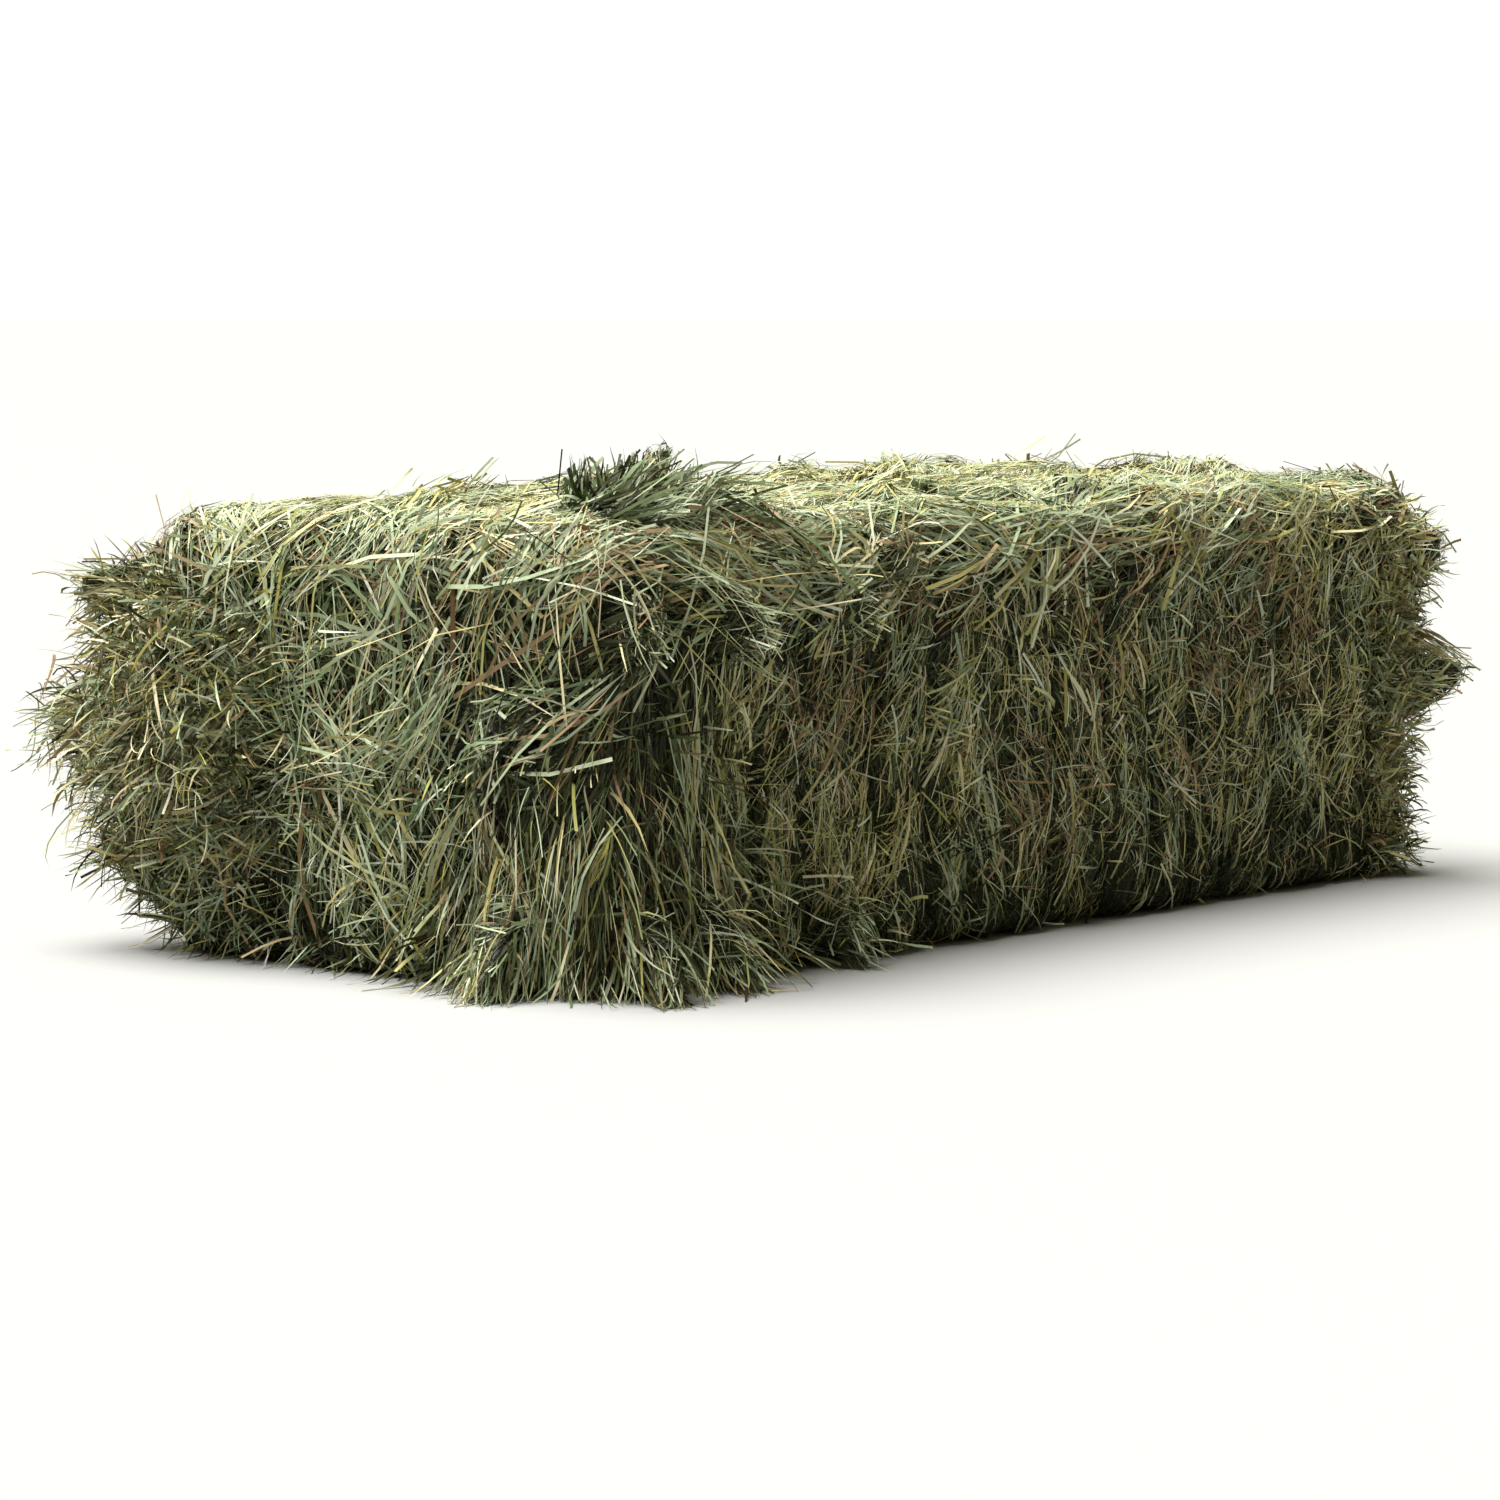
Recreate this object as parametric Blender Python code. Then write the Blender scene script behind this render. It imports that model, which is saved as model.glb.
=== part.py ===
"""Square hay bale: fifteen pressed flakes of hay, held together by two loops of baler twine.

Metres, +Z up. The bale lies on its wide side with its length along X. The origin is on the ground
under the middle of the bale. The -X end is the one that shows its cut face, and -Y is the long side
that goes with it.
"""

import math
import random

import bmesh
import bpy
from mathutils import Vector, noise

# The bale as it left the baler
WIDTH = 0.490
HEIGHT = 0.370
FLAKE_THICKNESS = (
    0.071, 0.127, 0.053, 0.097, 0.073, 0.113, 0.060, 0.085,
    0.062, 0.060, 0.052, 0.079, 0.097, 0.068, 0.063,
)
LENGTH = sum(FLAKE_THICKNESS)
GAP = 0.0003  # between a flake and its neighbour

# How the hay bulges
EDGE_RADIUS = 0.038  # the long edges on top, and the edges of both ends
FOOT_RADIUS = 0.020  # the long edges that the bale's own weight flattens
END_BULGE = 0.010  # the middle of each end stands this far out
LOOSE_BULGE = 0.034  # the first flakes at -X sag out this far on the +Y side
LOOSE_LENGTH = 0.26  # and that ends this far along the bale
LUMP = 0.011  # height of the broad lumps
LUMP_SIZE = 0.10
RIPPLE = 0.005  # height of the finer lumps on them
RIPPLE_SIZE = 0.040
CREASE = (0.006, 0.014)  # depth of the crease between two flakes, least and most

# The twine, and the groove that it presses into the hay
TWINE_Y = 0.111  # each string's distance from the middle
TWINE_RADIUS = 0.00225
TWINE_LIFT = 0.0045  # from the bottom of the groove to the middle of the string
TWINE_BEND = 0.050  # radius of the string's bend at the bale's corners
GROOVE_TOP = 0.013  # depth of the groove on top
GROOVE_END = 0.013  # and on both ends
GROOVE_FOOT = 0.0095  # and below, where the string must clear the ground
GROOVE_HALF_WIDTH = 0.022
LIP_LUMPS = 0.4  # share of the lumps that is left at the lips of a groove
BEND_STEPS = 7
KNOT_X = 0.395  # the knot is on top, towards the end that left the baler last
KNOT_RADIUS = 0.0055
KNOT_LIFT = 0.0050
TAIL_LENGTHS = (0.052, 0.038)

# Locks of hay that stick out of every flake
ROWS = (0.22, 0.50, 0.78)  # where a flake's skin bends, as shares of its thickness
LOCKS_PER_FLAKE = 4
LOCK_ROOT = 0.011  # a lock grows from a face at least this wide
LOCK_LENGTH = (0.010, 0.021)
LOCK_LEAN = 0.016
LOCK_ARCH = 0.35  # a lock bows away from its straight line by this share of its reach
LOCK_FLOOR = 0.06  # no short lock grows lower than this
TIP_LENGTH = 0.28  # a lock's tip is a short line: this share of its root's longer side
TIP_WIDTH = 0.18  # and this share of the shorter one
SLAB_MARGIN = 0.003  # a lock keeps this far inside its own flake's slab
FOOT_CLEARANCE = 0.0015  # a lock near the ground stays above it by this much

# The long tufts: the flake, a point on its skin, and where the tuft's tip is
TUFTS = (
    # the bunch that stands up on top, near the -X end
    (2, (-0.495, -0.152, 0.370), (-0.501, -0.160, 0.410)),
    (2, (-0.428, -0.152, 0.370), (-0.392, -0.150, 0.427)),
    (2, (-0.463, -0.220, 0.370), (-0.425, -0.224, 0.400)),
    # loose hay down the +Y edge of the -X end
    (1, (-0.545, 0.270, 0.302), (-0.596, 0.318, 0.306)),
    (1, (-0.545, 0.270, 0.182), (-0.612, 0.338, 0.190)),
    (1, (-0.545, 0.270, 0.051), (-0.590, 0.304, 0.092)),
    # the skirt round the near bottom corner
    (1, (-0.580, -0.165, 0.051), (-0.640, -0.182, 0.012)),
    (1, (-0.540, -0.245, 0.051), (-0.556, -0.310, 0.012)),
    (2, (-0.450, -0.245, 0.051), (-0.462, -0.296, 0.012)),
    (4, (-0.285, -0.245, 0.051), (-0.290, -0.280, 0.014)),
    # hay that hangs over the top edge of the long side
    (1, (-0.540, -0.245, 0.302), (-0.560, -0.278, 0.280)),
    (2, (-0.450, -0.245, 0.302), (-0.420, -0.284, 0.280)),
    (4, (-0.285, -0.245, 0.302), (-0.270, -0.272, 0.284)),
    # the far end
    (15, (0.550, -0.245, 0.182), (0.592, -0.290, 0.190)),
    (15, (0.550, -0.245, 0.302), (0.586, -0.272, 0.310)),
    (15, (0.580, -0.160, 0.117), (0.618, -0.180, 0.105)),
    (15, (0.580, 0.045, 0.243), (0.620, 0.052, 0.256)),
    (14, (0.490, 0.245, 0.243), (0.484, 0.285, 0.236)),
    (8, (0.065, 0.245, 0.182), (0.070, 0.284, 0.172)),
)

HAY_COLOURS = ((0.30, 0.31, 0.17), (0.26, 0.28, 0.15), (0.34, 0.33, 0.18))
TWINE_COLOUR = (0.09, 0.11, 0.22)


def clear_scene():
    for old in list(bpy.data.objects):
        bpy.data.objects.remove(old, do_unlink=True)


def material(name, colour, roughness):
    made = bpy.data.materials.new(name)
    made.use_nodes = True
    shader = made.node_tree.nodes["Principled BSDF"]
    shader.inputs["Base Color"].default_value = (*colour, 1.0)
    shader.inputs["Roughness"].default_value = roughness
    shader.inputs["Metallic"].default_value = 0.0
    return made


def near(a, b):
    return abs(a - b) < 1e-6


def grid_lines():
    """Where each flake is cut across the width and the height, so that its corners and grooves can bend."""
    half = WIDTH / 2
    outer = [half - EDGE_RADIUS, half - 0.3 * EDGE_RADIUS]
    groove = [TWINE_Y - GROOVE_HALF_WIDTH, TWINE_Y, TWINE_Y + GROOVE_HALF_WIDTH]
    across = groove + [0.5 * (groove[-1] + outer[0])] + outer
    widths = sorted([0.0] + across + [-y for y in across])
    foot = [0.3 * FOOT_RADIUS, FOOT_RADIUS]
    head = [HEIGHT - EDGE_RADIUS, HEIGHT - 0.3 * EDGE_RADIUS]
    wall = [foot[-1] + share * (head[0] - foot[-1]) for share in (0.2, 0.42, 0.62, 0.81)]
    return widths, foot + wall + head


def cut_block(low, high, lengths):
    """A cube of this size, cut into a grid."""
    bm = bmesh.new()
    bmesh.ops.create_cube(bm, size=1.0)
    for v in bm.verts:
        v.co = Vector(
            low[i] if v.co[i] < 0 else high[i] for i in range(3)
        )
    widths, heights = grid_lines()
    for axis, places in enumerate((lengths, widths, heights)):
        normal = Vector((axis == 0, axis == 1, axis == 2))
        for place in places:
            everything = bm.verts[:] + bm.edges[:] + bm.faces[:]
            bmesh.ops.bisect_plane(bm, geom=everything, dist=1e-6, plane_co=normal * place, plane_no=normal)
    return bm


def join_face(bm, x):
    """Makes the face where two flakes meet one flat face, with no points inside its rim."""
    flat = [f for f in bm.faces if all(near(v.co.x, x) for v in f.verts)]
    bmesh.ops.dissolve_faces(bm, faces=flat, use_verts=True)


def rounded(point, first, last):
    """The block's point moved onto the rounded form, and the direction that faces out there."""
    radius = Vector((EDGE_RADIUS, EDGE_RADIUS, EDGE_RADIUS if point.z > HEIGHT / 2 else FOOT_RADIUS))
    inside = Vector(point)
    reach = LENGTH / 2 - radius.x
    if first:
        inside.x = max(inside.x, -reach)
    if last:
        inside.x = min(inside.x, reach)
    inside.y = max(-WIDTH / 2 + radius.y, min(WIDTH / 2 - radius.y, point.y))
    inside.z = max(FOOT_RADIUS, min(HEIGHT - EDGE_RADIUS, point.z))
    off = Vector((point[i] - inside[i]) / radius[i] for i in range(3))
    off.normalize()
    return inside + Vector(off[i] * radius[i] for i in range(3)), off


def groove_floor(point, first, last, inner):
    """The groove's lowest line, which runs round the bale as the string does."""
    low, high = GROOVE_FOOT, HEIGHT - GROOVE_TOP
    z = low + (high - low) * point.z / HEIGHT
    x = point.x
    bend = TWINE_BEND - TWINE_LIFT
    reach = LENGTH / 2 - GROOVE_END
    if first or last:
        x = inner + (point.x - inner) * (reach - abs(inner)) / (LENGTH / 2 - abs(inner))
    corner = Vector((
        max(-reach + bend, min(reach - bend, x)) if first or last else x,
        max(low + bend, min(high - bend, z)),
    ))
    off = Vector((x, z)) - corner
    if off.x and off.y:
        off = off.normalized() * bend
    return Vector((corner.x + off.x, point.y, corner.y + off.y))


def lumps(point):
    broad = noise.noise(point / LUMP_SIZE)
    fine = noise.noise(point / RIPPLE_SIZE + Vector((7.0, 3.0, 5.0)))
    return LUMP * broad + RIPPLE * fine


def press(bm, low_x, high_x, creases, first, last):
    """Gives the cut block the form of a flake: round edges, bulges, creases and the two grooves."""
    inner = high_x if first else low_x
    for v in bm.verts:
        start = v.co.copy()
        at_seam = (near(start.x, low_x) and not first) or (near(start.x, high_x) and not last)
        skin = (
            near(abs(start.y), WIDTH / 2) or near(start.z, 0) or near(start.z, HEIGHT)
            or (first and near(start.x, low_x)) or (last and near(start.x, high_x))
        )
        if not skin:
            continue
        if near(abs(start.y), TWINE_Y):
            v.co = groove_floor(start, first, last, inner)
            continue
        placed, out = rounded(start, first, last)
        push = lumps(placed)
        if near(abs(abs(start.y) - TWINE_Y), GROOVE_HALF_WIDTH):
            push *= LIP_LUMPS
        waist = math.sin(math.pi * start.z / HEIGHT)
        if abs(out.x) > 0.9:
            push += END_BULGE * (1 - (2 * start.y / WIDTH) ** 2) * waist
        loose = max(0.0, 1 - (start.x + LENGTH / 2) / LOOSE_LENGTH)
        if near(start.y, WIDTH / 2):
            push += LOOSE_BULGE * loose * waist
        if at_seam:
            push -= creases[0] if near(start.x, low_x) else creases[1]
            out.x = 0.0
        if near(start.z, 0):
            out.z = 0.0
            push = min(push, 0.0) if abs(out.y) < 0.5 else push
        placed += out * push
        placed.z = max(placed.z, 0.0)
        v.co = placed


def lane_of(y):
    """The strip between or beside the grooves that this place is in: its lowest and highest Y."""
    inner, outer = TWINE_Y - GROOVE_HALF_WIDTH, TWINE_Y + GROOVE_HALF_WIDTH
    if abs(y) < TWINE_Y:
        return -inner, inner
    return (outer, WIDTH) if y > 0 else (-WIDTH, -outer)


def grow(bm, face, tip, steps):
    """Draws a face out to a tip in steps, so that it becomes a lock of hay: a wedge like a brush's."""
    base = face.calc_center_median()
    lowest, highest = lane_of(base.y)
    out = face.normal.copy()
    rim = [v.co.copy() for v in face.verts]
    longest = max(face.edges, key=lambda e: e.calc_length())
    along = (longest.verts[1].co - longest.verts[0].co).normalized()
    reach = (tip - base).length
    for step in range(1, steps + 1):
        share = step / steps
        face = bmesh.ops.extrude_discrete_faces(bm, faces=[face])["faces"][0]
        middle = base.lerp(tip, share) + out * (LOCK_ARCH * reach * share * (1 - share))
        for v, corner in zip(face.verts, rim):
            off = corner - base
            length = along * off.dot(along)
            length *= 1 - (1 - TIP_LENGTH) * share
            width = (off - along * off.dot(along)) * (1 - (1 - TIP_WIDTH) * share)
            v.co = middle + length + width
            v.co.y = max(lowest, min(highest, v.co.y))
            v.co.z = max(FOOT_CLEARANCE, v.co.z)


def may_grow(face, low_x, high_x):
    """True for a face on the outside, off the grooves and the ground."""
    middle = face.calc_center_median()
    off_groove = abs(abs(middle.y) - TWINE_Y) > GROOVE_HALF_WIDTH or abs(face.normal.y) > 0.7
    outside = abs(face.normal.x) < 0.6 or max(abs(low_x), abs(high_x)) > LENGTH / 2 - 0.001
    wide = min(e.calc_length() for e in face.edges) > LOCK_ROOT
    return off_groove and outside and wide and middle.z > LOCK_FLOOR


def held_in(tip, low_x, high_x, first, last):
    """The tip moved to where it touches neither the ground nor the next flake."""
    held = tip.copy()
    if not first:
        held.x = max(held.x, low_x + SLAB_MARGIN)
    if not last:
        held.x = min(held.x, high_x - SLAB_MARGIN)
    return held


def add_locks(bm, index, low_x, high_x, first, last):
    """The long tufts that this flake has, then short locks on other faces of it."""
    bm.faces.ensure_lookup_table()
    draw = random.Random(40 + index)
    free = [f for f in bm.faces if len(f.verts) == 4]
    for flake, skin, tip in TUFTS:
        if flake == index:
            skin = Vector(skin)
            face = min(free, key=lambda f: (f.calc_center_median() - skin).length)
            taken = set(face.verts)
            free = [f for f in free if not taken & set(f.verts)]
            grow(bm, face, held_in(Vector(tip), low_x, high_x, first, last), 3)
    free = [f for f in free if may_grow(f, low_x, high_x)]
    free = [f for f in free if not near(f.calc_center_median().x, low_x) or first]
    free = [f for f in free if not near(f.calc_center_median().x, high_x) or last]
    for _ in range(LOCKS_PER_FLAKE):
        face = draw.choice(free)
        taken = set(face.verts)
        free = [f for f in free if not taken & set(f.verts)]
        lean = Vector((draw.uniform(-1, 1), draw.uniform(-1, 1), draw.uniform(-1.4, 0.6))) * LOCK_LEAN
        lean -= face.normal * lean.dot(face.normal)
        tip = face.calc_center_median() + face.normal * draw.uniform(*LOCK_LENGTH) + lean
        grow(bm, face, held_in(tip, low_x, high_x, first, last), 2)


def keep_in_slab(bm, low_x, high_x, first, last):
    for v in bm.verts:
        if not first:
            v.co.x = max(v.co.x, low_x)
        if not last:
            v.co.x = min(v.co.x, high_x)


def make_flake(index, low_x, high_x, creases, home, coat):
    first, last = index == 1, index == len(FLAKE_THICKNESS)
    low_x += 0 if first else GAP / 2
    high_x -= 0 if last else GAP / 2
    rows = [low_x + share * (high_x - low_x) for share in ROWS]
    bm = cut_block((low_x, -WIDTH / 2, 0.0), (high_x, WIDTH / 2, HEIGHT), rows)
    if not first:
        join_face(bm, low_x)
    if not last:
        join_face(bm, high_x)
    press(bm, low_x, high_x, creases, first, last)
    bm.normal_update()
    add_locks(bm, index, low_x, high_x, first, last)
    keep_in_slab(bm, low_x, high_x, first, last)
    bmesh.ops.dissolve_limit(bm, angle_limit=math.radians(0.02), verts=bm.verts, edges=bm.edges)
    bmesh.ops.triangulate(bm, faces=bm.faces)
    name = f"flake_{index:02d}"
    mesh = bpy.data.meshes.new(name)
    bm.to_mesh(mesh)
    bm.free()
    flake = bpy.data.objects.new(name, mesh)
    flake.data.materials.append(coat)
    home.objects.link(flake)
    return flake


def string_route(y):
    """The loop that a string makes round the bale, a point at each end of every straight and along each bend."""
    reach = LENGTH / 2 - GROOVE_END + TWINE_LIFT
    top = HEIGHT - GROOVE_TOP + TWINE_LIFT
    foot = GROOVE_FOOT - TWINE_LIFT
    corners = (
        (reach - TWINE_BEND, top - TWINE_BEND, 0.0),
        (-reach + TWINE_BEND, top - TWINE_BEND, 0.5),
        (-reach + TWINE_BEND, foot + TWINE_BEND, 1.0),
        (reach - TWINE_BEND, foot + TWINE_BEND, 1.5),
    )
    route = []
    for x, z, start in corners:
        for step in range(BEND_STEPS + 1):
            turn = math.pi * (start + 0.5 * step / BEND_STEPS)
            route.append(Vector((x + TWINE_BEND * math.cos(turn), y, z + TWINE_BEND * math.sin(turn))))
    return route


def tube(name, points, radius, closed, home):
    curve = bpy.data.curves.new(name, "CURVE")
    curve.dimensions = "3D"
    curve.bevel_depth = radius
    curve.bevel_resolution = 2
    curve.use_fill_caps = not closed
    spline = curve.splines.new("POLY")
    spline.points.add(len(points) - 1)
    for place, point in zip(spline.points, points):
        place.co = (*point, 1.0)
    spline.use_cyclic_u = closed
    made = bpy.data.objects.new(name, curve)
    home.objects.link(made)
    return made


def as_mesh(thing):
    """The curve turned to a mesh object with its caps welded. The curve is removed."""
    bpy.context.view_layer.update()
    shape = thing.evaluated_get(bpy.context.evaluated_depsgraph_get())
    mesh = bpy.data.meshes.new_from_object(shape)
    bm = bmesh.new()
    bm.from_mesh(mesh)
    bmesh.ops.remove_doubles(bm, verts=bm.verts, dist=0.00001)
    bmesh.ops.recalc_face_normals(bm, faces=bm.faces)
    bm.to_mesh(mesh)
    bm.free()
    name, home = thing.name, thing.users_collection[0]
    matrix = thing.matrix_world.copy()
    bpy.data.objects.remove(thing, do_unlink=True)
    solid = bpy.data.objects.new(name, mesh)
    solid.matrix_world = matrix
    home.objects.link(solid)
    return solid


def tail_route(knot, direction, length):
    """A cut end that comes out of the knot and lies along the bottom of the groove's mouth."""
    steps = 6
    points = []
    for step in range(steps + 1):
        share = step / steps
        rise = 0.004 * math.sin(math.pi * share) + 0.002 * share
        sway = 0.005 * direction * math.sin(2.4 * share)
        points.append(knot + Vector((direction * length * share, sway, rise)))
    return points


def make_twine(name, y, home, tools, coat):
    """One loop of string with its knot and the two tails cut short behind it."""
    loop = as_mesh(tube(name, string_route(y), TWINE_RADIUS, True, home))
    top = HEIGHT - GROOVE_TOP + TWINE_LIFT
    knot_place = Vector((KNOT_X, y, top + KNOT_LIFT))
    bpy.ops.mesh.primitive_uv_sphere_add(segments=10, ring_count=7, radius=KNOT_RADIUS, location=knot_place)
    knot = bpy.context.object
    knot.name = f"{name}_knot"
    knot.scale = (1.35, 1.0, 0.9)
    for holder in list(knot.users_collection):
        holder.objects.unlink(knot)
    tools.objects.link(knot)
    added = [knot]
    for count, (direction, length) in enumerate(zip((1, -1), TAIL_LENGTHS)):
        route = tail_route(knot_place, direction, length)
        added.append(as_mesh(tube(f"{name}_tail_{count}", route, TWINE_RADIUS * 0.9, False, tools)))
    for piece in added:
        piece.hide_render = True
        piece.display_type = "WIRE"
        union = loop.modifiers.new(piece.name, "BOOLEAN")
        union.operation = "UNION"
        union.solver = "EXACT"
        union.object = piece
    loop.data.materials.append(coat)
    loop.data.shade_smooth()
    return loop


def build():
    clear_scene()
    home = bpy.data.collections.new("square_hay_bale")
    tools = bpy.data.collections.new("joined_to_the_twine")
    for made in (home, tools):
        bpy.context.scene.collection.children.link(made)
    coats = [material(f"hay_{i + 1}", colour, 0.9) for i, colour in enumerate(HAY_COLOURS)]
    draw = random.Random(12)
    creases = [draw.uniform(*CREASE) for _ in range(len(FLAKE_THICKNESS) + 1)]
    low_x = -LENGTH / 2
    for index, thickness in enumerate(FLAKE_THICKNESS, start=1):
        pair = (creases[index - 1], creases[index])
        make_flake(index, low_x, low_x + thickness, pair, home, coats[index % len(coats)])
        low_x += thickness
    string = material("baler_twine", TWINE_COLOUR, 0.7)
    make_twine("twine_near", -TWINE_Y, home, tools, string)
    make_twine("twine_far", TWINE_Y, home, tools, string)


build()
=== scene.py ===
# %% [markdown]
# A square hay bale.
#
# A baler's plunger presses hay into flakes, one a stroke, and two strings hold the row of flakes
# together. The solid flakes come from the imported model, and they stay as the dark, pressed heart of
# the bale. What the eye sees is loose: some hundred thousand dry blades of grass that lie over the
# flakes in clumps, hang over the edges and stick out in tufts. So this scene keeps the flakes, gives
# them the look of hay in shadow, and grows the blades over them with Geometry Nodes. Particles or
# hair curves would be quicker to set up, but a renderer alone understands them, and a mesh can go
# anywhere.

# %% The frame
import math
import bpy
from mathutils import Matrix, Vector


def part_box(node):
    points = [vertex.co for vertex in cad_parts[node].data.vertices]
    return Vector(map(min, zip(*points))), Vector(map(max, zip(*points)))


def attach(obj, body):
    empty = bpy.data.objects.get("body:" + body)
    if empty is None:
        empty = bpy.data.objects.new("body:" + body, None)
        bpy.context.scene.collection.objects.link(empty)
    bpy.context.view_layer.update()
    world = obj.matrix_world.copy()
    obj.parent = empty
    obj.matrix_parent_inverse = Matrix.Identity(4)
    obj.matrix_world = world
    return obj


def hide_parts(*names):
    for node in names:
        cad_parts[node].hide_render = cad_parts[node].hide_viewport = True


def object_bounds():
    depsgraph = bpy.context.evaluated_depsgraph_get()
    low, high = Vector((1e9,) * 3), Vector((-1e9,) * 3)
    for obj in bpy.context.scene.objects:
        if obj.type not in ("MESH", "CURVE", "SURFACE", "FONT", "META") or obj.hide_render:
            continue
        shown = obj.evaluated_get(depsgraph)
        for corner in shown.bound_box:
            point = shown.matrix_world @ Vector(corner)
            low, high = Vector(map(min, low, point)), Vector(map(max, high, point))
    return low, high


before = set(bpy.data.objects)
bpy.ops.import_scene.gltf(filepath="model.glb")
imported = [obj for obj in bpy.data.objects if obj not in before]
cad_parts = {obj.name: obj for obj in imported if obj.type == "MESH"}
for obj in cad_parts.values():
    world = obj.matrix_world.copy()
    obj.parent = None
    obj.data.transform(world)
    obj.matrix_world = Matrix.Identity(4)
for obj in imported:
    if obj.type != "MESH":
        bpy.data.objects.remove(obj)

from types import SimpleNamespace

import bmesh
import bpy
import numpy as np
from mathutils import Matrix, Vector, noise

cad_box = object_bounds()
flakes = sorted(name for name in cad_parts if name.startswith("flake"))


def rounded(values):
    return [round(x, 3) for x in values]


def add_object(name, data):
    thing = bpy.data.objects.new(name, data)
    bpy.context.scene.collection.objects.link(thing)
    return thing


print(len(flakes), "flakes, in", [rounded(corner) for corner in cad_box])

# %% [markdown]
# The photograph was taken with a long lens from a low place, off the bale's near corner. Azimuth and
# elevation say where the camera stands, as on a globe round the bale, and the aim is a point a
# little off the middle. The lens is the one that gives the bale's corners their places in the
# picture.

# %% The camera
AZIMUTH = math.radians(-50.19)
ELEVATION = math.radians(5.36)
DISTANCE = 5.079
LENS_MM = 136.6
AIM = Vector((0.0, 0.0, 0.18))
AIM_RIGHT = -0.063
AIM_UP = -0.036


def add_camera():
    back = Vector((
        math.sin(AZIMUTH) * math.cos(ELEVATION),
        -math.cos(AZIMUTH) * math.cos(ELEVATION),
        math.sin(ELEVATION),
    ))
    right = Vector((math.cos(AZIMUTH), math.sin(AZIMUTH), 0.0))
    up = back.cross(right)
    camera = add_object("camera", bpy.data.cameras.new("camera"))
    camera.data.lens = LENS_MM
    camera.data.sensor_width = 36.0
    eye = AIM + right * AIM_RIGHT + up * AIM_UP + back * DISTANCE
    camera.matrix_world = Matrix.Translation(eye) @ Matrix((right, up, back)).transposed().to_4x4()
    bpy.context.scene.camera = camera
    return camera


print("camera at", rounded(add_camera().matrix_world.translation))

# %% [markdown]
# The hay, the strings and all materials are made with nodes, and long trees are hard to read when
# each node takes three lines. So a node's output is wrapped in a small class that takes part in
# sums: writing a * b + c adds the two maths nodes that work it out. Numbers and vectors mix as they
# do on paper. The second class holds the tree. It serves the Geometry Nodes trees and the materials
# alike.

# %% A field: an output that takes part in sums


class Field:
    """A node's output. Each operation on it adds the node that does the same."""

    def __init__(self, nodes, socket):
        self.nodes = nodes
        self.socket = socket
        self.is_vector = socket.type == "VECTOR"

    def __add__(self, other):
        return self.nodes.sum_up("ADD", self, other)

    def __sub__(self, other):
        return self.nodes.sum_up("SUBTRACT", self, other)

    def __rsub__(self, other):
        return self.nodes.sum_up("SUBTRACT", other, self)

    def __mul__(self, other):
        return self.nodes.sum_up("MULTIPLY", self, other)

    def __truediv__(self, other):
        return self.nodes.sum_up("DIVIDE", self, other)

    def __rtruediv__(self, other):
        return self.nodes.sum_up("DIVIDE", other, self)

    def __lt__(self, other):
        return self.nodes.math("LESS_THAN", self, other)

    def __gt__(self, other):
        return self.nodes.math("GREATER_THAN", self, other)


print("a node's output now takes part in sums")

# %% A tree that grows by one short call a node


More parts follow.
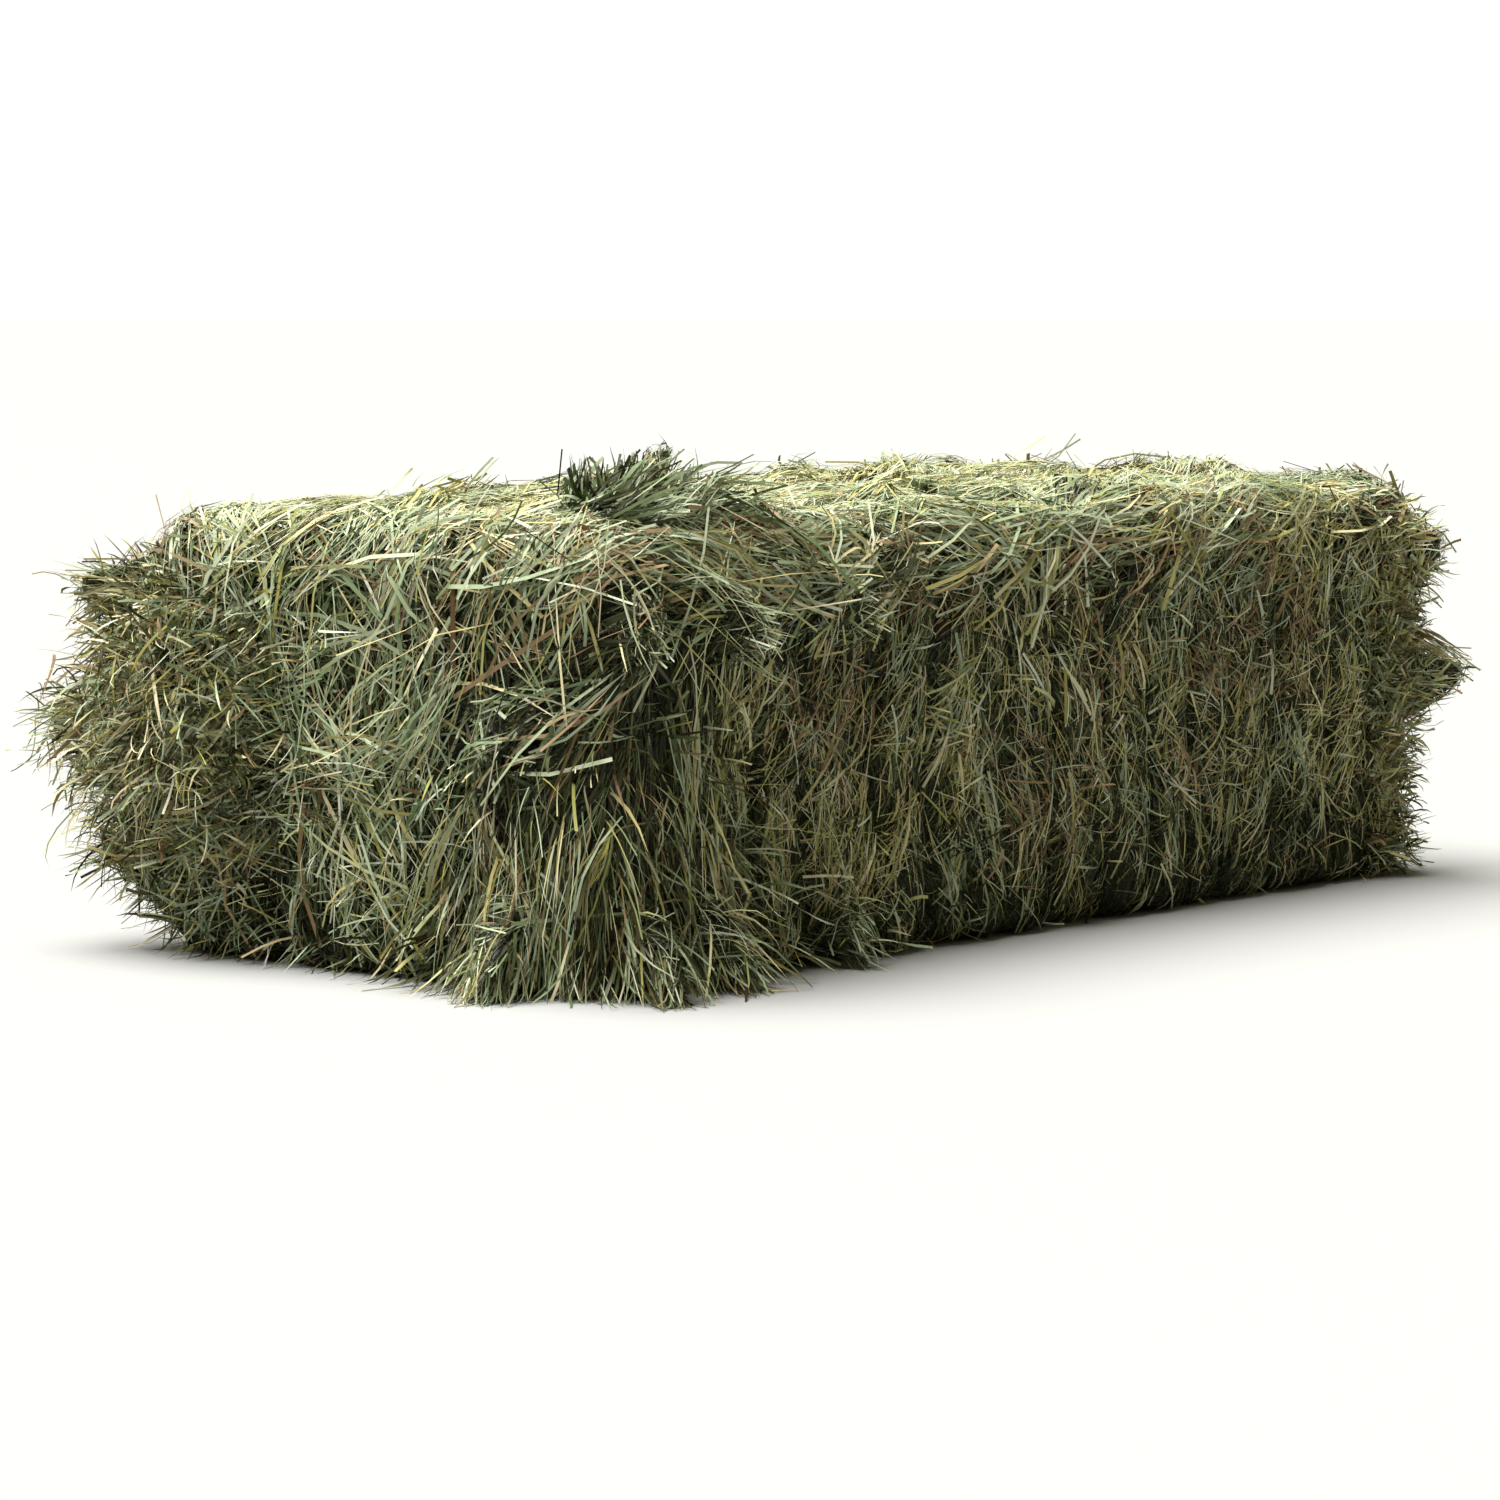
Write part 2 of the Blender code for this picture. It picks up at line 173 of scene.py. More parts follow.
class Nodes:
    """A node tree. What its calls return are fields."""

    def __init__(self, tree):
        self.tree = tree
        self.draws = 0
        self.seed = 0

    def fill(self, node, sockets):
        """Joins each socket, by its name or number, to a field, or gives it a value."""
        for key, value in sockets.items():
            if isinstance(value, Field):
                self.tree.links.new(value.socket, node.inputs[key])
            else:
                node.inputs[key].default_value = value

    def add(self, kind, sockets=None, output=0, **settings):
        """Adds a node, and returns one of its outputs, by its name or number, if it has any."""
        node = self.tree.nodes.new(kind)
        for key, value in settings.items():
            setattr(node, key, value)
        self.fill(node, sockets or {})
        return Field(self, node.outputs[output]) if node.outputs else None

    def math(self, operation, *values):
        return self.add("ShaderNodeMath", dict(enumerate(values)), operation=operation)

    def vector(self, operation, *values):
        places = (0, 3) if operation == "SCALE" else range(len(values))
        output = "Value" if operation in ("DOT_PRODUCT", "LENGTH") else "Vector"
        return self.add("ShaderNodeVectorMath", dict(zip(places, values)), output, operation=operation)

    def sum_up(self, operation, first, second):
        """One operation on two numbers, on two vectors, or on a vector and a number."""
        vectors = [isinstance(v, tuple) or isinstance(v, Field) and v.is_vector for v in (first, second)]
        if vectors == [True, False]:
            return self.vector("SCALE", first, second if operation == "MULTIPLY" else 1.0 / second)
        return (self.vector if any(vectors) else self.math)(operation, first, second)

    def unit(self, vector):
        return self.vector("NORMALIZE", vector)

    def cross(self, first, second):
        return self.vector("CROSS_PRODUCT", first, second)

    def blend(self, first, second, share):
        """From the first vector to the second one, by a share from 0 to 1."""
        return first + (second - first) * share

    def lerp(self, first, second, share):
        """From the first number to the second one, by a share from 0 to 1."""
        return self.add("ShaderNodeMapRange", {0: share, 3: first, 4: second})

    def turn(self, vector, axis, angle):
        sockets = {"Vector": vector, "Axis": axis, "Angle": angle}
        return self.add("ShaderNodeVectorRotate", sockets, rotation_type="AXIS_ANGLE")

    def parts(self, vector):
        """A vector's or a colour's three numbers, as x, y and z."""
        x = self.add("ShaderNodeSeparateXYZ", {0: vector})
        outputs = x.socket.node.outputs
        return SimpleNamespace(x=x, y=Field(self, outputs[1]), z=Field(self, outputs[2]))

    def combined(self, x=0.0, y=0.0, z=0.0):
        return self.add("ShaderNodeCombineXYZ", {0: x, 1: y, 2: z})

    def place(self):
        return self.add("GeometryNodeInputPosition")

    def named(self, name):
        """A number that the points carry, by its name."""
        return self.add("GeometryNodeInputNamedAttribute", {"Name": name}, data_type="FLOAT")

    def named_vector(self, name):
        return self.add("GeometryNodeInputNamedAttribute", {"Name": name}, data_type="FLOAT_VECTOR")

    def keep(self, geometry, name, value, kind="FLOAT_VECTOR", domain="POINT"):
        """Writes a value on the geometry, under a name."""
        sockets = {"Geometry": geometry, "Name": name, "Value": value}
        return self.add("GeometryNodeStoreNamedAttribute", sockets, data_type=kind, domain=domain)

    def random(self, low, high):
        """A random number for each element. Each call draws from its own row of numbers."""
        self.draws += 1
        sockets = {2: low, 3: high, "Seed": self.seed * 37.0 + float(self.draws)}
        return self.add("FunctionNodeRandomValue", sockets, 1, data_type="FLOAT")

    def chance(self, share):
        """1 for this share of the elements, and 0 for the others."""
        return self.random(0.0, 1.0) < share

    def ramp(self, place, stops):
        """Colours along a scale from 0 to 1, from a list of places and colours."""
        colour = self.add("ShaderNodeValToRGB", {0: place})
        elements = colour.socket.node.color_ramp.elements
        for stop, shade in stops[1:-1]:
            elements.new(stop).color = (*shade, 1.0)
        for element, (stop, shade) in ((elements[0], stops[0]), (elements[-1], stops[-1])):
            element.position = stop
            element.color = (*shade, 1.0)
        return colour


def new_coat(name):
    """A material, its nodes and its shader."""
    coat = bpy.data.materials.new(name)
    coat.use_nodes = True
    return coat, Nodes(coat.node_tree), coat.node_tree.nodes["Principled BSDF"]


print("ready to build trees")

# %% [markdown]
# A Geometry Nodes tree gets its sizes as named inputs, so that the same tree can serve all flakes.
# It runs as a modifier on a passing object. The result is then turned to a plain mesh, and the
# object goes, modifier and all: what is left is an ordinary piece.

# %% New trees, and how they are run


def new_tree(name, inputs):
    """A Geometry Nodes tree with these named inputs. Returns its nodes, and the inputs as fields."""
    tree = bpy.data.node_groups.new(name, "GeometryNodeTree")
    for label, kind in {"Geometry": "Geometry", **inputs}.items():
        tree.interface.new_socket(label, in_out="INPUT", socket_type=f"NodeSocket{kind}")
    tree.interface.new_socket("Geometry", in_out="OUTPUT", socket_type="NodeSocketGeometry")
    nodes = Nodes(tree)
    outputs = nodes.add("NodeGroupInput").socket.node.outputs
    given = {socket.name: Field(nodes, socket) for socket in outputs if socket.name}
    nodes.seed = given.get("Seed", 0)
    return nodes, given


def run_tree(tree, name, source, settings):
    """Runs a tree on the source object's mesh, and returns the result as a plain mesh object."""
    carrier = add_object(name, source.data)
    modifier = carrier.modifiers.new(tree.name, "NODES")
    modifier.node_group = tree
    for item in tree.interface.items_tree:
        if item.in_out == "INPUT" and item.name in settings:
            modifier[item.identifier] = settings[item.name]
    bpy.context.view_layer.update()
    mesh = bpy.data.meshes.new_from_object(carrier.evaluated_get(bpy.context.evaluated_depsgraph_get()))
    bpy.data.objects.remove(carrier)
    mesh.name = name
    return add_object(name, mesh)


print("ready to run trees")

# %% [markdown]
# The light in the photograph falls from above and a little from the left, which is from behind the
# long side: the top is nearly white, the end is in soft light, and the long side is in shade. A lamp
# in a studio could do that, but it would have to be very large. A sun lamp whose disc is made as
# wide as a big softbox looks from near by gives the same soft, slightly warm light everywhere, also
# on the floor. The sky is white where the camera looks at it, and only weakly and warmly fills the
# shade. The floor is a plain disc, wide enough that its edge is out of sight.

# %% Floor, sky and lamp
FLOOR_RADIUS = 30.0
FLOOR_COLOUR = (0.285, 0.296, 0.296)
SKY_SEEN = 1.0
SKY_TINT = (1.0, 0.91, 0.56)
SKY_LIGHT = 0.238
LIGHT_FROM = Vector((-0.23, 0.28, 1.0))
LIGHT_STRENGTH = 11.0
LIGHT_TINT = (1.0, 0.962, 0.930)
LIGHT_WIDTH = math.radians(54.0)


def pale_floor():
    mesh = bpy.data.meshes.new("floor")
    bm = bmesh.new()
    bmesh.ops.create_circle(bm, cap_ends=True, segments=64, radius=FLOOR_RADIUS)
    bm.to_mesh(mesh)
    bm.free()
    coat, nodes, shader = new_coat("pale_floor")
    nodes.fill(shader, {"Base Color": (*FLOOR_COLOUR, 1.0), "Roughness": 0.9})
    mesh.materials.append(coat)
    floor = add_object("floor", mesh)


def soft_light():
    lamp = add_object("softbox", bpy.data.lights.new("softbox", "SUN"))
    lamp.data.energy = LIGHT_STRENGTH
    lamp.data.angle = LIGHT_WIDTH
    lamp.data.color = LIGHT_TINT
    lamp.rotation_euler = LIGHT_FROM.to_track_quat("Z", "Y").to_euler()


def pale_sky():
    sky = bpy.data.worlds.new("studio")
    bpy.context.scene.world = sky
    sky.use_nodes = True
    nodes = Nodes(sky.node_tree)
    seen = nodes.add("ShaderNodeLightPath", output="Is Camera Ray")
    colours = {0: seen, 6: (*SKY_TINT, 1.0), 7: (1.0, 1.0, 1.0, 1.0)}
    nodes.fill(sky.node_tree.nodes["Background"], {
        "Strength": nodes.lerp(SKY_LIGHT, SKY_SEEN, seen),
        "Color": nodes.add("ShaderNodeMix", colours, 2, data_type="RGBA"),
    })


pale_floor()
soft_light()
pale_sky()
bpy.context.scene.view_settings.view_transform = "Standard"
print("floor, sky and one soft light", round(math.degrees(LIGHT_WIDTH)), "degrees wide")

# %% [markdown]
# The blades need a skin to lie on, and the skin has to say how they lie there. All flakes' outsides
# are joined in one mesh, without the faces where two flakes meet, and each point of it gets a few
# values. For blades that lie flat: which way they lie (grain), how far a clump may turn from that
# (swirl), how broad and long they are (coarse), how many there are (cover), the share of blades given
# dark colours as painted shade in seams, hollows and grooves and under edges (murk), and the
# shares of straw-coloured ones (bleach) and of brown ones (brown). For blades that came loose: how many
# there are (loose), which way they stick out (sway), how long they are (shag) and how far out their
# roots are held (puff). Tangle says how much blades of both sorts cross.
#
# On the ends the hay lies every way, as the plunger pushed it. On the long sides it was pressed and
# cut, and stands mostly upright in short, fine blades. On top it lies along the bale and runs over
# the edge. Most loose blades are at the far left edge, which burst open, at the right end, and in
# the skirt round the foot of the near corner.

# %% The plain form of the bale
LENGTH = 1.160
WIDTH = 0.490
HEIGHT = 0.370
ROUNDING = 0.038
STRING_Y = 0.111
CORNER = Vector((-0.57, -0.24))  # the near corner, seen from above
BURST = Vector((-0.56, 0.24))  # the edge that burst open


def smooth(low, high, value):
    """From 0 to 1 as the value goes from low to high. Low may be the larger one."""
    share = max(0.0, min(1.0, (value - low) / (high - low)))
    return share * share * (3 - 2 * share)


def facing(place):
    """Which way the bale's plain form faces here, and how far the place stands out of that form."""
    inner = Vector((LENGTH / 2 - ROUNDING, WIDTH / 2 - ROUNDING, HEIGHT / 2 - ROUNDING))
    off = place - Vector((0.0, 0.0, HEIGHT / 2))
    rest = Vector(off[i] - max(-inner[i], min(inner[i], off[i])) for i in range(3))
    if rest.length < 1e-6:
        return Vector((0.0, 0.0, 1.0)), 0.0
    return rest.normalized(), rest.length - ROUNDING


def along_skin(vector, normal):
    return vector - normal * vector.dot(normal)


print("the top faces", rounded(facing(Vector((0.0, 0.0, HEIGHT)))[0]))

# %% The parts of the bale where hay lies in its own way


def areas(place):
    """How much a place belongs to each area of the bale, mostly from 0 to 1."""
    x, y, z = place
    out, proud = facing(place)
    proud -= 0.034 * smooth(-0.30, -0.45, x) * smooth(0.10, 0.20, y)  # the burst edge bulges as a whole
    side = out.y ** 2
    to_corner = (place.xy - CORNER).length
    tuft = smooth(0.012, 0.030, proud)
    skirt = smooth(0.24, 0.06, to_corner) * smooth(0.27, 0.14, z)
    left = smooth(0.20, 0.06, (place.xy - BURST).length) * smooth(0.05, 0.12, z) * smooth(0.34, 0.28, z)
    return SimpleNamespace(
        out=out, end=out.x ** 2, side=side, top=max(out.z, 0.0) ** 2,
        # The solid tufts, the hay that hangs down at the near corner, and its lowest part.
        tuft=tuft,
        skirt=skirt,
        fringe=skirt * smooth(0.26, 0.10, z),
        # The edge that burst open, its middle height, and the edge of the far end that the camera sees.
        left=left,
        burst=left * smooth(0.04, 0.12, z) * smooth(0.34, 0.25, z),
        right=smooth(0.50, 0.56, x) * smooth(-0.10, -0.20, y) * smooth(0.36, 0.33, z) * (1.0 - tuft),
        # Towards the far end, towards the far long side, and along the two strings.
        far=smooth(0.0, 0.5, x),
        back=smooth(-0.1, 0.2, y),
        string=smooth(0.024, 0.009, abs(abs(y) - STRING_Y)),
        # Up at the top's edge, where blades run along the bale, and the strip under it that gets painted
        # shade.
        sweep=smooth(0.280, 0.335, z) * (1.0 - 0.7 * smooth(0.05, 0.35, x)),
        eave=side * smooth(0.325, 0.300, z) * smooth(0.235, 0.285, z) * smooth(0.25, 0.0, x),
        # The long side next to the near corner, for its blades and for its painted shade.
        bend=smooth(0.20, 0.05, to_corner) * smooth(0.35, 0.27, z) * side,
        shade=side * smooth(-0.30, -0.45, x) * smooth(0.33, 0.25, z) * smooth(0.0, -0.2, y),
        # The hollow in the near corner, which gets painted shade, the foot of the near half, and the lowest
        # few centimetres.
        hollow=smooth(0.13, 0.04, to_corner) * smooth(0.06, 0.14, z) * smooth(0.31, 0.22, z),
        foot=smooth(0.10, 0.03, z) * smooth(-0.05, -0.30, x),
        ground=smooth(0.06, 0.0, z),
    )


corner_foot = areas(Vector((CORNER.x, CORNER.y, 0.05)))
print("at the corner's foot: skirt", round(corner_foot.skirt, 2), "and burst", round(corner_foot.burst, 2))

# %% How the hay lies at any place
NUMBERS = ("swirl", "coarse", "cover", "murk", "bleach", "brown", "loose", "shag", "tangle", "puff")
VECTORS = ("grain", "sway", "out")


def directions(place, normal, a):
    """Which way blades lie on the skin, and which way loose ones stick out of it."""
    drift = noise.noise(place * 4.0)
    wander = noise.noise(place * 7.0 + Vector((9.0, 2.0, 4.0)))
    lean = 2.8 * drift * (1.0 - a.skirt)
    on_end = Vector((0.0, math.sin(lean), math.cos(lean)))
    on_side = Vector((0.30 * wander + 2.6 * a.sweep, 0.0, 1.0 - 1.25 * a.sweep))
    on_top = Vector((1.0, 0.55 * wander, 0.0))
    grain = along_skin(on_end * a.end + on_side * a.side + on_top * a.top, normal)
    grain = (grain + 4.0 * a.tuft * along_skin(a.out, normal)).normalized()
    sway = (a.out * (0.8 - 0.45 * a.top) + grain * 0.8) * (1.0 - 0.9 * max(a.left, a.skirt, a.right))
    sway += a.out * max(0.75 * a.left, a.right) + Vector((0.15, -0.25, -0.60)) * a.left
    sway += (a.out * 0.22 + Vector((0.0, 0.0, -1.0))) * max(a.skirt, 0.6 * a.foot)
    return {"out": normal.copy(), "grain": grain, "sway": sway.normalized()}


def lie_of_hay(place, normal, at_seam=0.0):
    """The values of the skin at this place, by their names."""
    a = areas(place)
    on_side = a.side * (1.0 - a.sweep)
    cut_side = a.side * (1.0 - 0.6 * a.sweep)
    open_edge = max(a.left, a.right)
    end_cover, side_cover = (1.05 if place.x < 0 else 0.55), (1.75 if place.y < 0 else 0.62)
    return {
        **directions(place, normal, a),
        "swirl": (1.45 * a.end * (1.0 - 0.7 * a.skirt) + (0.55 + 0.20 * a.far) * a.side * (1.0 - a.bend)
                  + (0.32 + 0.4 * a.back + 0.2 * a.far) * a.top),
        "coarse": (0.66 * a.end + (0.13 - 0.03 * a.far) * on_side + 0.7 * a.side * a.sweep + 0.45 * a.bend
                   + (0.38 - 0.14 * a.far) * a.top) * (1.0 - 0.7 * a.tuft),
        "cover": (end_cover * a.end + side_cover * a.side
                  + 0.66 * a.top * (1.0 - 0.96 * a.string)) * (1.0 - 0.5 * a.tuft),
        # Painted shade: this share of blades takes dark colours, a little everywhere on the ends and sides,
        # and more at the seams, in the near corner's hollow, under the top's edge, in the lowest few
        # centimetres, in the string grooves on the ends and beside the near corner; less at the far end's
        # edge and none on top.
        "murk": (0.05 * a.side + 0.19 * a.end + 0.16 * a.eave + 0.45 * at_seam * (1.0 - a.top)
                 + 0.22 * a.hollow + 0.35 * a.ground + 0.35 * a.string * a.end + 0.14 * a.shade
                 + 0.10 * a.bend - 0.25 * a.right - 0.80 * a.top),
        "bleach": (0.44 * a.top * (0.3 + 0.7 * smooth(-0.24, -0.04, place.y)) + 0.24 * a.end
                   + 0.68 * cut_side + 0.25 * a.left + 0.25 * a.right) * (1.0 - 0.9 * a.tuft),
        "brown": 0.06 + 0.05 * a.end + 0.13 * cut_side + 0.12 * open_edge + 0.05 * a.hollow,
        "loose": (min(1.0, 0.10 - 0.05 * a.top + 0.60 * a.fringe + 0.35 * a.foot
                      + 0.80 * a.top * (1.0 - a.top)) * (1.0 - a.left) + 2.7 * a.left + 3.6 * a.right),
        "shag": 0.42 - 0.18 * a.top + 0.14 * a.left + 0.60 * a.fringe + 0.2 * a.foot - 0.10 * a.right,
        "tangle": (0.5 + 0.4 * a.end * (1.0 - a.left) + (0.75 + 0.25 * a.far) * on_side + 0.9 * a.left
                   + 0.4 * a.right) * (1.0 - 0.7 * max(a.skirt, a.bend)),
        "puff": 0.060 * a.burst + 0.024 * a.right,
    }


near_end = lie_of_hay(Vector((-LENGTH / 2, 0.0, HEIGHT / 2)), Vector((-1.0, 0.0, 0.0)))
print("cover at the middle of the near end:", round(near_end["cover"], 2))

# %% The skin that the blades lie on
SEAM_REACH = 0.0004  # a point this close to a flake's own limit in X is one where two flakes meet


def add_values(mesh, name, kind, domain, values):
    attribute = mesh.attributes.new(name, kind, domain)
    field = "vector" if kind == "FLOAT_VECTOR" else "value"
    attribute.data.foreach_set(field, np.asarray(values, dtype=np.float32).ravel())


def open_flake(index):
    """A flake's mesh with whole corners, and without the faces that touch its neighbours."""
    low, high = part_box(flakes[index])
    bm = bmesh.new()
    bm.from_mesh(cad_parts[flakes[index]].data)
    bmesh.ops.remove_doubles(bm, verts=bm.verts, dist=0.00002)
    seams = [low.x] * (index > 0) + [high.x] * (index < len(flakes) - 1)
    walls = [f for f in bm.faces if any(all(abs(v.co.x - s) < SEAM_REACH for v in f.verts) for s in seams)]
    bmesh.ops.delete(bm, geom=walls, context="FACES")
    mesh = bpy.data.meshes.new("open_flake")
    bm.to_mesh(mesh)
    bm.free()
    return mesh


def is_at_seam(x, low, high):
    """Whether this x is where two flakes meet, and not at an end of the bale."""
    return min(x - low, high - x) <= SEAM_REACH and abs(x) <= LENGTH / 2 - 0.02


def make_skin():
    joined = bmesh.new()
    flake_of, at_seam = [], []
    for index in range(len(flakes)):
        part = open_flake(index)
        low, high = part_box(flakes[index])
        flake_of += [index] * len(part.polygons)
        at_seam += [float(is_at_seam(v.co.x, low.x, high.x)) for v in part.vertices]
        joined.from_mesh(part)
        bpy.data.meshes.remove(part)
    joined.normal_update()
    values = [lie_of_hay(v.co, v.normal, seam) for v, seam in zip(joined.verts, at_seam)]
    shown = [float(f.normal.z >= -0.8 or f.calc_center_median().z >= 0.03) for f in joined.faces]
    mesh = bpy.data.meshes.new("skin")
    joined.to_mesh(mesh)
    joined.free()
    for name in VECTORS:
        add_values(mesh, name, "FLOAT_VECTOR", "POINT", [list(row[name]) for row in values])
    for name in NUMBERS:
        add_values(mesh, name, "FLOAT", "POINT", [row[name] for row in values])
    add_values(mesh, "shown", "FLOAT", "FACE", shown)
    add_values(mesh, "flake", "FLOAT", "FACE", flake_of)
    return add_object("skin", mesh)


skin = make_skin()
print("the skin has", len(skin.data.polygons), "faces")

# %% [markdown]
# Every blade here is a ribbon on a bent line. The line starts at one point, ends at another and is
# drawn towards a third, which makes it a quadratic curve: three points that fix a smooth arc. A flat
# strip, one square wide and a few squares long, is copied to each blade's point, bent along that
# arc, made narrow at its tip, and rolled a little about its own line. This part of the tree serves
# all hay, so it is a node group. It reads the three points, two directions and the sizes from the
# points, and it gives each blade a place in the colour map: across the map for the kind of blade, up
# it for the way from root to tip.

# %% The ribbons
GROUND = 0.0006  # no blade goes below this height
BLADE_VECTORS = ("root", "pull", "tip", "root_out", "tip_out")
BLADE_NUMBERS = ("width", "roll", "twist", "taper", "kind")


def ribbon_group():
    nodes, given = new_tree("ribbons", {"Rows": "Int", "Material": "Material"})
    strip = {"Size X": 1.0, "Size Y": 1.0, "Vertices X": 2, "Vertices Y": given["Rows"]}
    spot = nodes.parts(nodes.place())
    shape = nodes.keep(nodes.add("GeometryNodeMeshGrid", strip), "across", spot.x, "FLOAT")
    shape = nodes.keep(shape, "along", spot.y + 0.5, "FLOAT")
    copies = nodes.add("GeometryNodeInstanceOnPoints", {"Points": given["Geometry"], "Instance": shape})
    blades = nodes.add("GeometryNodeRealizeInstances", {0: copies})

    t = nodes.named("along")
    root, pull, tip, root_out, tip_out = (nodes.named_vector(name) for name in BLADE_VECTORS)
    width, roll, twist, taper, kind = (nodes.named(name) for name in BLADE_NUMBERS)
    first = nodes.blend(root, pull, t)
    second = nodes.blend(pull, tip, t)
    along = nodes.unit(second - first)
    side = nodes.unit(nodes.cross(along, nodes.blend(root_out, tip_out, t)))
    side = nodes.turn(side, along, roll + twist * (t - 0.5))
    last = nodes.math("MAXIMUM", (t - 0.45) * 1.82, 0.0)
    narrow = 1.0 - taper * nodes.math("POWER", last, 1.6)
    place = nodes.blend(first, second, t) + side * (width * narrow * nodes.named("across"))
    place = nodes.vector("MAXIMUM", place, (-9.0, -9.0, GROUND))
    bent = nodes.add("GeometryNodeSetPosition", {"Geometry": blades, "Position": place})

    spot = nodes.combined(kind, t)
    for name in ("blade", "OFBake"):
        bent = nodes.keep(bent, name, spot, "FLOAT2", "CORNER")
    coated = nodes.add("GeometryNodeSetMaterial", {"Geometry": bent, "Material": given["Material"]})
    nodes.add("NodeGroupOutput", {0: coated})
    return nodes.tree


def grow_ribbons(nodes, points, given, vectors, numbers):
    """Writes the blades' shapes on their points, and hands the points to the ribbon group."""
    for name, value in zip(BLADE_VECTORS, vectors):
        points = nodes.keep(points, name, value)
    for name, value in zip(BLADE_NUMBERS, numbers):
        points = nodes.keep(points, name, value, "FLOAT")
    sockets = {"Geometry": points, "Rows": given["Rows"], "Material": given["Material"]}
    nodes.add("NodeGroupOutput", {0: nodes.add("GeometryNodeGroup", sockets, node_tree=ribbons)})


def as_hay(piece, spare_names=()):
    """Clears what the tree left on a finished piece of hay, and lets it ride with the bale."""
    left = (*BLADE_VECTORS, *BLADE_NUMBERS, *VECTORS, *NUMBERS, "across", "along", "shown", "flake")
    for name in (*left, *spare_names):
        found = piece.data.attributes.get(name)
        if found:
            piece.data.attributes.remove(found)
    piece.data.shade_smooth()
    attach(piece, "root")
    return piece


ribbons = ribbon_group()
print("the group that makes ribbons has", len(ribbons.nodes), "nodes")

# %% [markdown]
# Dry blades of one clump are alike: they come from one handful of grass, so they lie the same way
# and have the same age and colour. One material serves all loose hay. It reads the blade's place
# in the colour map. The way across the map goes from near-black and dark olive, which are painted
# shade for blades deep among the others, through grey-green, yellow-green and straw to brown, and
# thin stripes of lighter and darker blades cross it, so that neighbours differ. Up the map, a blade
# fades towards its dry tip and shows faint spots. A gamma node makes the lighter and darker ones:
# unlike a plain factor, it makes dark leaves richer and light ones paler, as damp and dry grass is.

# %% The hay's materials
LEAF_COLOURS = (
    # place on the map, colour of blades there
    # The first three places, up to 0.16, are near-black and dark olive: painted shade for the deep and low
    # blades.
    (0.00, (0.012, 0.012, 0.003)),
    (0.08, (0.034, 0.046, 0.011)),
    (0.16, (0.085, 0.070, 0.024)),
    (0.23, (0.168, 0.220, 0.112)),
    (0.40, (0.325, 0.390, 0.255)),
    (0.55, (0.490, 0.530, 0.400)),
    (0.63, (0.375, 0.380, 0.130)),
    (0.74, (0.400, 0.370, 0.165)),
    (0.80, (0.510, 0.470, 0.255)),
    (0.88, (0.520, 0.500, 0.350)),
    (0.94, (0.320, 0.240, 0.125)),
    (1.00, (0.210, 0.145, 0.080)),
)
STRIPES = 240.0
PRESSED_COLOURS = (
    (0.50, (0.014, 0.014, 0.005)),
    (0.60, (0.060, 0.058, 0.024)),
    (0.74, (0.210, 0.200, 0.105)),
)
FIBRE_LAYERS = (
    # how far each layer of matted fibres is turned, and its fineness each way
    ((0.3, 0.0, 0.4), (60.0, 500.0, 420.0)),
    ((0.0, 0.5, 1.3), (420.0, 55.0, 500.0)),
    ((0.9, 0.3, 0.0), (500.0, 420.0, 70.0)),
)


def blade_material():
    coat, nodes, shader = new_coat("dry_blades")
    spot = nodes.add("ShaderNodeUVMap", uv_map="blade")
    place = nodes.parts(spot)
    stripe = nodes.math("FLOOR", place.x * STRIPES)
    chance = nodes.add("ShaderNodeTexWhiteNoise", {"W": stripe}, "Color", noise_dimensions="1D")
    chance = nodes.parts(chance)
    colour = nodes.ramp(place.x, LEAF_COLOURS)
    spots = {"Vector": spot, "Scale": 6.0, "W": stripe, "Detail": 2.0}
    spots = nodes.add("ShaderNodeTexNoise", spots, "Fac", noise_dimensions="4D")
    depth = (chance.x * -0.94 + 1.63) + (place.y * -0.22 + 0.12) + (spots * -0.5 + 0.25)
    nodes.fill(shader, {
        "Base Color": nodes.add("ShaderNodeGamma", {"Color": colour, "Gamma": depth}),
        "Roughness": chance.y * 0.3 + 0.45,
        "Specular IOR Level": 0.25,
    })
    return coat


def pressed_material():
    """The flakes themselves: matted blades in deep shade, seen through gaps and on the underside."""
    coat, nodes, shader = new_coat("pressed_hay")
    place = nodes.add("ShaderNodeTexCoord", output="Object")
    layers = []
    for turn, fineness in FIBRE_LAYERS:
        spread = nodes.add("ShaderNodeMapping", {"Vector": place, "Rotation": turn, "Scale": fineness})
        fibres = {"Vector": spread, "Scale": 1.0, "Detail": 3.0}
        layers.append(nodes.add("ShaderNodeTexNoise", fibres, "Fac"))
    strands = nodes.math("MAXIMUM", nodes.math("MAXIMUM", layers[0], layers[1]), layers[2])
    patches = nodes.add("ShaderNodeTexNoise", {"Vector": place, "Scale": 30.0, "Detail": 4.0}, "Fac")
    colour = nodes.ramp(strands, PRESSED_COLOURS)
    nodes.fill(shader, {
        "Base Color": nodes.vector("SCALE", colour, patches * 1.2 + 0.3),
        "Roughness": patches * 0.2 + 0.75,
        "Normal": nodes.add("ShaderNodeBump", {"Height": strands, "Distance": 0.004, "Strength": 0.9}),
    })
    return coat


blade_coat = blade_material()
pressed_coat = pressed_material()
for name in flakes:
    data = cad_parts[name].data
    data.materials.clear()
    data.materials.append(pressed_coat)
print("materials:", blade_coat.name, "and", pressed_coat.name)

